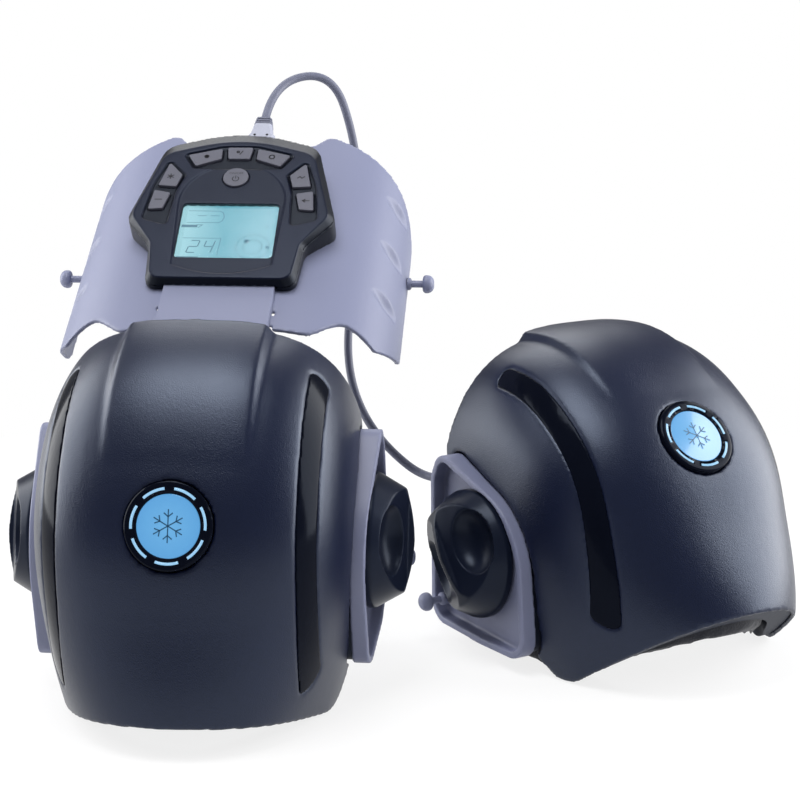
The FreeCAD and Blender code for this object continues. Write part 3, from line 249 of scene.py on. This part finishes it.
STAND = {
    "left": standing(-127.63, -28.0, 2.38, -5.08, 2.42),
    "right": standing(155.37, 41.6, -18.86, 30.8, -20.5),
}
LCD_MIDDLE = (0, 0.090, 0.281)
FACE_TILT = math.radians(36)
PLATE_TILT = math.radians(29)
FACE = STAND["left"] @ Matrix.Translation(LCD_MIDDLE) @ Matrix.Rotation(FACE_TILT, 4, "X")
PLATE = STAND["left"] @ Matrix.Translation(LCD_MIDDLE) @ Matrix.Rotation(PLATE_TILT, 4, "X")


# ---------------------------------------------------------------- controller cord
# A round rubber lead, 6 mm across and 0.45 m long, from the plug at the top edge of the
# controller down behind the left unit and over to the gland of the right unit.
CORD_WIDTH = 0.006
PLUG_TOP = FACE @ Vector((0.011, 0.1115, -0.0110))
PLUG_AHEAD = FACE @ Vector((0.011, 0.1585, -0.0110))
GLAND = STAND["right"] @ Vector((-0.0895, 0.0321, 0.150))
GLAND_AHEAD = STAND["right"] @ Vector((-0.0895, 0.0701, 0.150))
CORD_WAY = [
    PLUG_TOP,
    PLUG_AHEAD,
    Vector((-0.0540, 0.1975, 0.3850)),
    Vector((-0.0370, 0.1975, 0.3330)),
    Vector((-0.0345, 0.1955, 0.2810)),
    Vector((-0.0370, 0.1855, 0.2360)),
    Vector((-0.0440, 0.1495, 0.1890)),
    Vector((-0.0370, 0.1315, 0.1510)),
    Vector((-0.0160, 0.1095, 0.1220)),
    GLAND_AHEAD,
    GLAND,
]


def lead(name, way, width):
    """A tube along a smooth NURBS line, and the points of that line."""
    data = bpy.data.curves.new(name, "CURVE")
    data.dimensions = "3D"
    data.resolution_u = 16
    spline = data.splines.new("NURBS")
    spline.points.add(len(way) - 1)
    for point, place in zip(spline.points, way):
        point.co = (*place, 1)
    spline.order_u = 3
    spline.use_endpoint_u = True
    curve = bpy.data.objects.new(name, data)
    bpy.context.scene.collection.objects.link(curve)
    line = bpy.data.meshes.new_from_object(curve)
    points = [tuple(vertex.co) for vertex in line.vertices]
    data.bevel_depth = width / 2
    data.bevel_resolution = 6
    data.use_fill_caps = True
    bpy.ops.object.select_all(action="DESELECT")
    curve.select_set(True)
    bpy.context.view_layer.objects.active = curve
    bpy.ops.object.convert(target="MESH")
    tube = bpy.context.active_object
    tube.name = name
    bpy.ops.object.shade_smooth()
    return tube, points


def plastic(name, grain, cloud, colours, rough=None, bump=None, **sockets):
    """A finish with a fine grain and a slow drift between two colours.

    grain and cloud are the scale and detail of a noise, rough is a base and what the grain adds
    to it, and bump is a strength and a distance. Without a cloud, the grain mixes the colours."""
    made = Finish(name, **sockets)
    fine = made.noise(*grain)
    drift = made.noise(*cloud) if cloud else fine
    made.set("Base Color", made.blend(drift, *colours))
    if rough:
        made.set("Roughness", rough[0] + fine * rough[1])
    if bump:
        made.bump(fine, *bump)
    return made


def dress(finish, *names):
    """Gives CAD nodes a finish."""
    for name in names:
        for material_slot in nodes[name].material_slots:
            material_slot.material = finish.material


cord, cord_points = lead("controller_lead", CORD_WAY, CORD_WIDTH)
rubber = plastic(
    "cord_rubber",
    grain=(1100, 3),
    cloud=(60, 2),
    colours=((0.084, 0.090, 0.134, 1), (0.110, 0.118, 0.170, 1)),
    rough=(0.44, 0.16),
    bump=(0.08, 0.0002),
    Specular_IOR_Level=0.4,
)
cord.data.materials.append(rubber.material)
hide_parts("controller_cord")
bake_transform(cord)
dress(rubber, "cable_gland", "plug_strain_relief", "controller_cord")


# ---------------------------------------------------------------- outer shells
# One moulded hood of dark plastic for each unit, 3.2 mm thick, with a fine spark-eroded
# grain that catches the light. The raised bonnet is part of the same moulding.
SHELL_DARK = (0.0018, 0.0034, 0.0150, 1)
SHELL_LIGHT = (0.0034, 0.0060, 0.0235, 1)
COOL = (0.68, 0.79, 1.0, 1)
SIDES = ("left", "right")
shell = Finish("shell", Specular_IOR_Level=0.5, Specular_Tint=COOL)
grain = shell.noise(1400)
pits = shell.noise(420)
cloud = shell.noise(14)
shell.set("Base Color", shell.blend(cloud, SHELL_DARK, SHELL_LIGHT))
shell.set("Roughness", 0.26 + grain * 0.14)
shell.bump(grain * 0.8 + pits * 0.2, strength=0.5, distance=0.0004)


def merged_copy(source, name):
    """A copy of a CAD piece with its doubled corners merged. It is selected and active."""
    piece = bpy.data.objects.new(name, nodes[source].data.copy())
    bpy.context.scene.collection.objects.link(piece)
    bpy.ops.object.select_all(action="DESELECT")
    piece.select_set(True)
    bpy.context.view_layer.objects.active = piece
    bpy.ops.object.mode_set(mode="EDIT")
    bpy.ops.mesh.select_all(action="SELECT")
    bpy.ops.mesh.remove_doubles(threshold=0.000001)
    bpy.ops.object.mode_set(mode="OBJECT")
    return piece


def modify(piece, kind, **settings):
    """Adds a modifier and applies it."""
    modifier = piece.modifiers.new(kind.lower(), kind)
    for setting, value in settings.items():
        setattr(modifier, setting, value)
    bpy.ops.object.modifier_apply(modifier=modifier.name)


def stand_in(piece, source, finish, body):
    """Gives a changed copy its finish, and puts it in the place of its CAD node."""
    piece.data.materials.clear()
    piece.data.materials.append(finish.material)
    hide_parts(source)
    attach(piece, body)


def moulded(source, finish, body, voxel, passes, keep=1.0, shrink=0.0):
    """A copy of a CAD piece with the soft edges of a moulding: remeshed, smoothed and thinned."""
    piece = merged_copy(source, source + "_moulded")
    modify(piece, "REMESH", mode="VOXEL", voxel_size=voxel)
    modify(piece, "SMOOTH", factor=0.5, iterations=passes)
    if shrink:
        modify(piece, "DISPLACE", strength=-shrink, mid_level=0.0)
    if keep < 1:
        modify(piece, "DECIMATE", ratio=keep)
    bpy.ops.object.shade_smooth()
    stand_in(piece, source, finish, body)
    return piece


for which in SIDES:
    moulded(which + "_outer_shell", shell, "units", voxel=0.0016, passes=4)


# ---------------------------------------------------------------- gloss strips
# Two strips of polished black plastic on each hood, pressed into channels that curve
# down its front.
gloss = plastic(
    "trim_gloss",
    grain=(35, 3),
    cloud=None,
    colours=((0.0015, 0.0020, 0.0050, 1), (0.0030, 0.0040, 0.0085, 1)),
    rough=(0.10, 0.08),
    Specular_IOR_Level=0.06,
    Specular_Tint=COOL,
)
for which in SIDES:
    moulded(which + "_trim_strips", gloss, "units", voxel=0.0007, passes=4, keep=0.6)


# ---------------------------------------------------------------- round light on each hood
# A polished black bezel with seven slots, a light guide that glows through them, and a
# frosted lens lit from behind.
KNOB_AXIS = 0.095
BADGE_TURN = math.radians(21.3)
BADGE_FACE = 0.1356
BADGE_PRINT = 0.13575
LENS_RADIUS = 0.019
SLOT_COUNT = 7


def badge_frame(which):
    """The badge's own axes: x across, y up the hood, z out of the lens. Origin on the knob axis."""
    axes = Matrix((
        (1, 0, 0, 0),
        (0, math.sin(BADGE_TURN), -math.cos(BADGE_TURN), 0),
        (0, math.cos(BADGE_TURN), math.sin(BADGE_TURN), 0),
        (0, 0, 0, 1),
    ))
    return STAND[which] @ Matrix.Translation((0, 0, KNOB_AXIS)) @ axes


for which in SIDES:
    lens = Finish(which + "_badge_light", Roughness=0.16, Coat_Weight=0.5, Coat_Roughness=0.05)
    middle = badge_frame(which) @ Vector((0, 0, BADGE_FACE))
    inputs = {0: lens.place(), 1: tuple(middle)}
    away = lens.node("ShaderNodeVectorMath", inputs, output="Value", operation="DISTANCE") * (1 / LENS_RADIUS)
    mist = lens.noise(220)
    edge = lens.node(
        "ShaderNodeMapRange",
        {"Value": away + (mist - 0.5) * 0.08, "From Min": 0.15, "From Max": 1.02},
    )
    colour = lens.node(
        "ShaderNodeValToRGB",
        {"Fac": edge},
        stops=[(0.0, (0.150, 0.450, 0.800, 1)), (1.0, (0.105, 0.370, 0.730, 1))],
    )
    lens.set("Base Color", lens.blend(mist, (0.02, 0.06, 0.11, 1), (0.03, 0.08, 0.14, 1)))
    lens.glow(colour, strength=0.8)
    dress(lens, which + "_badge_lens")

guide = Finish("dash_light", Roughness=0.3)
mist = guide.noise(400)
guide.set("Base Color", guide.blend(mist, (0.05, 0.09, 0.13, 1), (0.04, 0.08, 0.12, 1)))
guide.glow(guide.blend(mist, (0.34, 0.62, 0.86, 1), (0.24, 0.50, 0.78, 1)), strength=0.9)


def turned(source, finish, axes, angle):
    """A merged copy of a CAD piece, turned about the badge's axis so that one slot is lowest."""
    piece = merged_copy(source, source + "_turned")
    piece.data.transform(axes @ Matrix.Rotation(angle, 4, "Z") @ axes.inverted())
    bpy.ops.object.shade_smooth_by_angle(angle=math.radians(35))
    stand_in(piece, source, finish, "units")


for which in SIDES:
    axes = badge_frame(which)
    turned(which + "_badge_ring", gloss, axes, math.pi / SLOT_COUNT)
    turned(which + "_badge_light_guide", guide, axes, math.pi / SLOT_COUNT)


def stroke(start, end, width):
    """A printed line in the plane z = 0, in millimetres."""
    run = Vector((end[0] - start[0], end[1] - start[1]))
    middle = ((start[0] + end[0]) / 2, (start[1] + end[1]) / 2, 0)
    bpy.ops.mesh.primitive_plane_add(size=1, location=middle, rotation=(0, 0, math.atan2(run.y, run.x)))
    line = bpy.context.active_object
    line.scale = (run.length + width, width, 1)
    return line


def path_of(points, width):
    return [stroke(a, b, width) for a, b in zip(points, points[1:])]


def round_point(middle, radius, angle):
    return (middle[0] + radius * math.cos(angle), middle[1] + radius * math.sin(angle))


def arc(middle, radius, width, first=0, last=360, count=24):
    angles = [math.radians(first + (last - first) * step / count) for step in range(count + 1)]
    return path_of([round_point(middle, radius, angle) for angle in angles], width)


def snowflake(middle, radius, width, tips):
    """Six arms, with or without a fork on each."""
    lines = []
    for turn in range(6):
        angle = math.radians(60 * turn + 30)
        lines.append(stroke(middle, round_point(middle, radius, angle), width))
        if tips:
            fork = round_point(middle, radius * 0.58, angle)
            for lean in (-50, 50):
                tip = round_point(fork, radius * 0.33, angle + math.radians(lean))
                lines.append(stroke(fork, tip, width))
    return lines


def printed(name, lines, place, finish, body):
    """Joins printed lines into one thin piece and puts it in place."""
    bpy.ops.object.select_all(action="DESELECT")
    for line in lines:
        line.select_set(True)
    bpy.context.view_layer.objects.active = lines[0]
    if len(lines) > 1:
        bpy.ops.object.join()
    bpy.ops.object.transform_apply(location=True, rotation=True, scale=True)
    piece = bpy.context.active_object
    piece.name = name
    piece.data.transform(place @ Matrix.Scale(0.001, 4))
    piece.data.materials.append(finish.material)
    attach(piece, body)


frost = plastic(
    "badge_print",
    grain=(900, 2),
    cloud=None,
    colours=((0.010, 0.060, 0.130, 1), (0.016, 0.085, 0.170, 1)),
    Roughness=0.4,
)
for which in SIDES:
    place = badge_frame(which) @ Matrix.Translation((0, 0, BADGE_PRINT))
    arms = snowflake((0, 0), radius=9.5, width=0.75, tips=True)
    printed(which + "_badge_snowflake", arms, place, frost, "units")


# ---------------------------------------------------------------- inner covers
# The inner wall of each unit, which closes the hood towards the knee. It is moulded in
# the same dark plastic, with a plainer surface.
cover = plastic(
    "inner_cover",
    grain=(900, 3),
    cloud=(20, 2),
    colours=((0.007, 0.009, 0.018, 1), (0.012, 0.015, 0.026, 1)),
    rough=(0.5, 0.14),
    bump=(0.35, 0.0003),
    Specular_IOR_Level=0.28,
    Specular_Tint=COOL,
)
dress(cover, "left_inner_cover", "right_inner_cover")


# ---------------------------------------------------------------- contact plates and works
# A brushed metal plate that cools or warms the knee, with its module, heat sink, fan and
# board in the hollow of the hood.
metal = Finish("plate_metal", Metallic=1.0)
stretched = metal.node(
    "ShaderNodeMapping",
    {"Vector": metal.place(), "Scale": (1, 0.04, 1)},
    vector_type="POINT",
)
brush = metal.noise(2600, vector=stretched)
metal.set("Base Color", metal.blend(brush, (0.52, 0.53, 0.55, 1), (0.70, 0.71, 0.72, 1)))
metal.set("Roughness", 0.24 + brush * 0.16)
metal.bump(brush, strength=0.2, distance=0.0001)
dress(metal, "left_cold_plate", "right_cold_plate", "left_heat_sink", "right_heat_sink", "hinge_pin")

white = plastic(
    "ceramic",
    grain=(600, 2),
    cloud=None,
    colours=((0.78, 0.78, 0.76, 1), (0.84, 0.84, 0.82, 1)),
    Roughness=0.6,
)
dress(white, "left_thermo_module", "right_thermo_module")

fan = plastic(
    "fan_black",
    grain=(700, 2),
    cloud=None,
    colours=((0.012, 0.012, 0.013, 1), (0.02, 0.02, 0.022, 1)),
    rough=(0.42, 0.12),
)
dress(fan, "left_fan_frame", "right_fan_frame", "left_fan_rotor", "right_fan_rotor")

board = plastic(
    "board_green",
    grain=(300, 3),
    cloud=None,
    colours=((0.010, 0.075, 0.035, 1), (0.02, 0.12, 0.055, 1)),
    rough=(0.3, 0.2),
)
dress(board, "left_circuit_board", "right_circuit_board", "controller_board")


# ---------------------------------------------------------------- side frames and strap studs
# Trays of lavender grey plastic screwed to the cheeks. The knobs sit in them, and the
# studs behind the knobs take the ends of the straps.
lavender = plastic(
    "frame_lavender",
    grain=(1300, 2),
    cloud=(9, 2),
    colours=((0.138, 0.150, 0.233, 1), (0.152, 0.166, 0.254, 1)),
    rough=(0.40, 0.14),
    bump=(0.25, 0.0002),
    Specular_IOR_Level=0.42,
)
dress(lavender, "left_strap_studs", "right_strap_studs", "plate_studs", "link_strip")
for which in SIDES:
    for side in SIDES:
        tray = which + "_side_frame_" + side
        moulded(tray, lavender, "units", voxel=0.0008, passes=8, keep=0.35)


# ---------------------------------------------------------------- thigh plate
# The saddle over the thigh, injection moulded in the same lavender grey, with three
# shallow slanted dimples pressed into each flank.
DIMPLE_LONG = 0.0125
DIMPLE_WIDE = 0.0075
DIMPLE_DEEP = 0.0034
DIMPLE_SLANT = 0.28
DIMPLE_PUSH = (0.85, 0.53)
DIMPLES = [(0.082, -0.0505), (0.032, -0.050), (-0.020, -0.049)]
FLANK_FROM = 0.07
plate = moulded("thigh_plate", lavender, "thigh", voxel=0.0011, passes=4, keep=0.6)
to_plate = PLATE.inverted()
for vertex in plate.data.vertices:
    place = to_plate @ vertex.co
    for along, height in DIMPLES:
        down = place.z - height
        sideways = place.y - along - DIMPLE_SLANT * down
        reach = (down / DIMPLE_LONG) ** 2 + (sideways / DIMPLE_WIDE) ** 2
        if reach < 1 and abs(place.x) > FLANK_FROM:
            press = DIMPLE_DEEP * (1 - reach) ** 1.5
            place -= Vector((math.copysign(DIMPLE_PUSH[0], place.x), 0, DIMPLE_PUSH[1])) * press
            vertex.co = PLATE @ place


# ---------------------------------------------------------------- knobs
# Four rotary knobs of dark satin plastic, each with a straight grip between two scoops.
# They are drawn in a little, so that they turn clear of the trays.
KNOB_SHRINK = 0.0003
knob = plastic(
    "knob_gloss",
    grain=(1600, 2),
    cloud=(16, 2),
    colours=((0.0040, 0.0060, 0.0140, 1), (0.0065, 0.0090, 0.0195, 1)),
    rough=(0.26, 0.10),
    bump=(0.18, 0.0002),
    Specular_IOR_Level=0.18,
    Specular_Tint=COOL,
)
for which in SIDES:
    for side in SIDES:
        name = which + "_knob_" + side
        moulded(name, knob, name, voxel=0.0008, passes=5, keep=0.4, shrink=KNOB_SHRINK)


# ---------------------------------------------------------------- controller
# A flat dark housing in two halves on top of the thigh plate, with a recessed display
# panel and two recessed tracks for the buttons. The floor of the tracks is painted darker, as painted shade
# in the recess.
TRACK_FLOOR = -0.0012
TRACK_RIM = -0.0004
case = Finish("controller_body", Specular_IOR_Level=0.18, Specular_Tint=COOL)
grain = case.noise(1500)
cloud = case.noise(24)
rise = case.along(FACE.translation, FACE.to_3x3() @ Vector((0, 0, 1)))
# Painted shade: a mask that darkens the floors of the button tracks by their depth below the face.
painted_track_shade = case.node(
    "ShaderNodeMapRange",
    {"Value": rise, "From Min": TRACK_FLOOR, "From Max": TRACK_RIM, "To Min": 1.0, "To Max": 0.0},
)
skin = case.blend(cloud, (0.0028, 0.0040, 0.0120, 1), (0.0050, 0.0066, 0.0180, 1))
# The darker colour on the track floors is painted shade in the recess.
case.set("Base Color", case.blend(painted_track_shade, skin, (0.0022, 0.0028, 0.0060, 1)))
case.set("Roughness", 0.30 + grain * 0.12)
case.bump(grain, strength=0.4, distance=0.0003)
moulded("controller_cover", case, "thigh", voxel=0.0006, passes=5, keep=0.4)
moulded("controller_base", case, "thigh", voxel=0.0011, passes=6, keep=0.6)


# ---------------------------------------------------------------- buttons
# Seven shaped keys and a round power button in mid grey plastic, with printed marks. The
# marks are in millimetres, on the controller's face.
KEY_MIDDLES = {
    "button_lower_left": (-50.9, 27.7),
    "button_middle_left": (-45.5, 50.1),
    "button_upper_left": (-22.9, 70.0),
    "button_top": (0, 74.0),
    "button_upper_right": (22.9, 70.0),
    "button_middle_right": (45.5, 50.1),
    "button_lower_right": (50.9, 27.7),
}
KEY_TOP = 0.00036
POWER_MIDDLE = 50
POWER_TOP = 0.00046
MARK = 0.85
POWER_MARK = 0.6
keys = plastic(
    "buttons",
    grain=(1400, 2),
    cloud=(40, 2),
    colours=((0.047, 0.049, 0.072, 1), (0.064, 0.066, 0.092, 1)),
    rough=(0.45, 0.12),
    bump=(0.25, 0.0002),
    Specular_IOR_Level=0.4,
)
for key in [*KEY_MIDDLES, "power_button"]:
    moulded(key, keys, key, voxel=0.00035, passes=5, keep=0.5)

ink = plastic(
    "key_print",
    grain=(900, 2),
    cloud=None,
    colours=((0.006, 0.006, 0.010, 1), (0.012, 0.012, 0.018, 1)),
    Roughness=0.5,
    Specular_IOR_Level=0.2,
)


def key_marks(key):
    """The generic sign on each key, about its own middle."""
    if key == "button_lower_left":
        return path_of([(-2.2, 0), (2.2, 0)], MARK)
    if key == "button_middle_left":
        return snowflake((0, 0), radius=2.2, width=MARK, tips=False)
    if key == "button_upper_left":
        return arc((0, 0), 0.8, 1.6, count=10)
    if key == "button_top":
        return arc((-1.3, 0.7), 0.8, MARK, count=10) + path_of([(0.2, -1.5), (1.8, 1.5)], MARK)
    if key == "button_upper_right":
        return arc((0, 0), 1.8, MARK, count=16)
    if key == "button_middle_right":
        return path_of([(-2.4, -0.6), (-0.9, 0.8), (0.6, -0.8), (2.3, 0.7)], MARK)
    return path_of([(-2.2, 0), (2.2, 0)], MARK) + path_of([(-0.8, 1.2), (-2.2, 0), (-0.8, -1.2)], MARK)


def on_face(across, up, height):
    """A place on the controller's face: across and up in millimetres, height in metres."""
    return FACE @ Matrix.Translation((across / 1000, up / 1000, height))


for key, middle in KEY_MIDDLES.items():
    printed(key + "_mark", key_marks(key), on_face(*middle, KEY_TOP), ink, key)
power = arc((0, -1.8), 2.2, POWER_MARK, 125, 415) + path_of([(0, -1.4), (0, 1.0)], POWER_MARK)
bpy.ops.object.text_add(location=(0, 2.6, 0))
words = bpy.context.active_object
words.data.body = "ON/OFF"
words.data.size = 2.7
words.data.align_x = "CENTER"
bpy.ops.object.convert(target="MESH")
power.append(bpy.context.active_object)
printed("power_button_mark", power, on_face(0, POWER_MIDDLE, POWER_TOP), ink, "power_button")


# ---------------------------------------------------------------- display
# A backlit liquid crystal panel under a clear window, brighter towards its sides. Its
# content is in millimetres about the middle of the face.
DISPLAY_TOP = -0.00332
DISPLAY_HALF = 0.033
DIGIT_LINE = 0.8
DIGIT_LEAN = 0.22
BACKLIGHT = 0.85
lit = Finish("lcd_display", Roughness=0.4)
across = lit.along(FACE.translation, FACE.to_3x3() @ Vector((1, 0, 0)))
mist = lit.noise(45)
share = lit.node(
    "ShaderNodeMapRange",
    {"Value": across + (mist - 0.5) * 0.012, "From Min": -DISPLAY_HALF, "From Max": DISPLAY_HALF},
)
colour = lit.node(
    "ShaderNodeValToRGB",
    {"Fac": share},
    stops=[(0.0, (0.42, 0.76, 0.84, 1)), (0.45, (0.13, 0.44, 0.56, 1)), (1.0, (0.28, 0.60, 0.72, 1))],
)
lit.set("Base Color", lit.blend(mist, (0.02, 0.05, 0.06, 1), (0.03, 0.07, 0.08, 1)))
lit.glow(colour, BACKLIGHT)
dress(lit, "lcd_module")

segments = Finish("lcd_segments", Roughness=0.4)
mist = segments.noise(200)
segments.set("Base Color", segments.blend(mist, (0.01, 0.03, 0.04, 1), (0.02, 0.04, 0.05, 1)))
segments.glow(segments.blend(mist, (0.030, 0.150, 0.235, 1), (0.045, 0.185, 0.270, 1)), BACKLIGHT)


def digit(left, foot, bars):
    """A leaning seven segment figure, 6 mm wide and 11 mm high."""
    corners = {
        "a": ((0.6, 11), (5.4, 11)),
        "b": ((6, 10.4), (6, 6.1)),
        "c": ((6, 4.9), (6, 0.6)),
        "d": ((0.6, 0), (5.4, 0)),
        "e": ((0, 4.9), (0, 0.6)),
        "f": ((0, 10.4), (0, 6.1)),
        "g": ((0.6, 5.5), (5.4, 5.5)),
    }
    lines = []
    for bar in bars:
        start, end = ((left + x + y * DIGIT_LEAN, foot + y) for x, y in corners[bar])
        lines.append(stroke(start, end, DIGIT_LINE))
    return lines


content = path_of([(-29, 20.5), (-7.5, 20.5), (-5, 18.8), (-4, 15), (-5, 11.2), (-7.5, 9.5), (-29, 9.5)], 0.4)
content += path_of([(-22, 16), (-16.5, 16)], 0.45) + path_of([(-13, 16), (-7.5, 16)], 0.45)
content += path_of([(-31, 6.2), (-22.5, 6.2)], 2.4) + path_of([(-22, 7.4), (-18, 7.4), (-20.6, 4.9)], 0.5)
content += path_of([(-29.5, -5), (-3.8, -5), (-4.6, -20.4)], 0.4)
content += digit(-26, -18.3, "abged") + digit(-15.5, -18.3, "fgbc")
content += path_of([(-31.5, -22.4), (-17.5, -22.4)], 0.9)
content += arc((18.6, -12.6), 11.2, 0.5, count=40) + arc((18.6, -12.6), 6.4, 0.5, count=30)
content += arc((14.0, -7.4), 0.8, 1.8, count=10) + arc((28.4, -12.8), 0.5, 1.2, count=8)
for foot in (18.4, 5.0):
    content += path_of([(25.4, foot + 1), (27.4, foot + 2.2), (27.4, foot), (25.4, foot + 1)], 0.35)
printed("display_segments", content, on_face(0, 0, DISPLAY_TOP), segments, "thigh")

glass = plastic(
    "lcd_glass",
    grain=(50, 2),
    cloud=None,
    colours=((0.05, 0.12, 0.14, 1), (0.07, 0.15, 0.17, 1)),
    rough=(0.04, 0.05),
    Alpha=0.12,
    IOR=1.45,
)
dress(glass, "lcd_window")


# ---------------------------------------------------------------- plug
# A moulded plug in the socket at the controller's top edge, where the cord comes in. Two
# round dots are printed on it.
PLUG_FACE = -0.00600
plug = plastic(
    "plug_plastic",
    grain=(900, 2),
    cloud=None,
    colours=((0.250, 0.262, 0.330, 1), (0.310, 0.322, 0.395, 1)),
    rough=(0.42, 0.15),
    bump=(0.2, 0.0002),
    Specular_IOR_Level=0.4,
)
dress(plug, "cord_plug")
dots = arc((6.6, 99.2), 0.45, 0.9, count=10) + arc((15.4, 99.2), 0.45, 0.9, count=10)
printed("plug_dots", dots, on_face(0, 0, PLUG_FACE), ink, "thigh")


# ---------------------------------------------------------------- knee liners
# A soft liner in each unit, foam under black knitted cloth, stitched in shallow channels
# that run across the knee. It is blown up a little as cloth and then quilted.
LINER_STEP = 0.0042
LINER_SHRINK = 0.0013
LINER_SWELL = 0.0026
LINER_REACH = 0.085
CLOTH_FRAMES = 20
CHANNEL_PITCH = 20.0
CHANNEL_DEEP = 0.0012
CHANNEL_WIDE = 0.0028

knit = Finish("knee_pad", Specular_IOR_Level=0.15, Sheen_Weight=0.25, Sheen_Roughness=0.5)
loops = knit.node("ShaderNodeTexVoronoi", {"Vector": knit.place(), "Scale": 900.0}, feature="F1")
cloud = knit.noise(40, 3)
knit.set("Base Color", knit.blend(cloud, (0.0085, 0.0095, 0.0140, 1), (0.0150, 0.0165, 0.0230, 1)))
knit.set("Roughness", 0.78 + loops * 0.12)
knit.bump(loops * 0.8 + cloud * 0.2, strength=0.55, distance=0.0005)


def blow_up(piece):
    """Swells a piece as cloth under pressure. No point moves further than the swell."""
    rest = [vertex.co.copy() for vertex in piece.data.vertices]
    cloth = piece.modifiers.new("cloth", "CLOTH")
    cloth.settings.quality = 4
    cloth.settings.mass = 0.3
    cloth.settings.use_pressure = True
    cloth.settings.uniform_pressure_force = 4
    cloth.settings.effector_weights.gravity = 0
    cloth.point_cache.frame_start = 1
    cloth.point_cache.frame_end = CLOTH_FRAMES
    for moment in range(1, CLOTH_FRAMES + 1):
        bpy.context.scene.frame_set(moment)
    blown = piece.evaluated_get(bpy.context.evaluated_depsgraph_get())
    places = [vertex.co.copy() for vertex in blown.data.vertices]
    piece.modifiers.remove(cloth)
    bpy.context.scene.frame_set(1)
    for vertex, start, end in zip(piece.data.vertices, rest, places):
        move = end - start
        if move.length > LINER_SWELL:
            move *= LINER_SWELL / move.length
        vertex.co = start + move


def quilt(piece, inside):
    """Presses channels into the side that faces the knee, at equal angles about the knob axis."""
    normals = [vertex.normal.copy() for vertex in piece.data.vertices]
    for vertex, normal in zip(piece.data.vertices, normals):
        place = inside @ vertex.co
        from_axis = Vector((0, place.y, place.z - KNOB_AXIS))
        angle = math.degrees(math.atan2(from_axis.z, -from_axis.y))
        off = (angle / CHANNEL_PITCH - round(angle / CHANNEL_PITCH)) * CHANNEL_PITCH
        off_line = math.radians(off) * from_axis.length
        facing = (inside.to_3x3() @ normal).dot(from_axis.normalized())
        if facing < -0.5 and abs(place.x) < LINER_REACH:
            vertex.co -= normal * CHANNEL_DEEP * math.exp(-((off_line / CHANNEL_WIDE) ** 2))


for which in SIDES:
    source = which + "_knee_pad"
    liner = merged_copy(source, which + "_liner")
    modify(liner, "REMESH", mode="VOXEL", voxel_size=LINER_STEP)
    modify(liner, "DISPLACE", strength=-LINER_SHRINK, mid_level=0.0)
    blow_up(liner)
    modify(liner, "SUBSURF", levels=1, render_levels=1)
    quilt(liner, STAND[which].inverted())
    bpy.ops.object.shade_smooth()
    stand_in(liner, source, knit, "units")
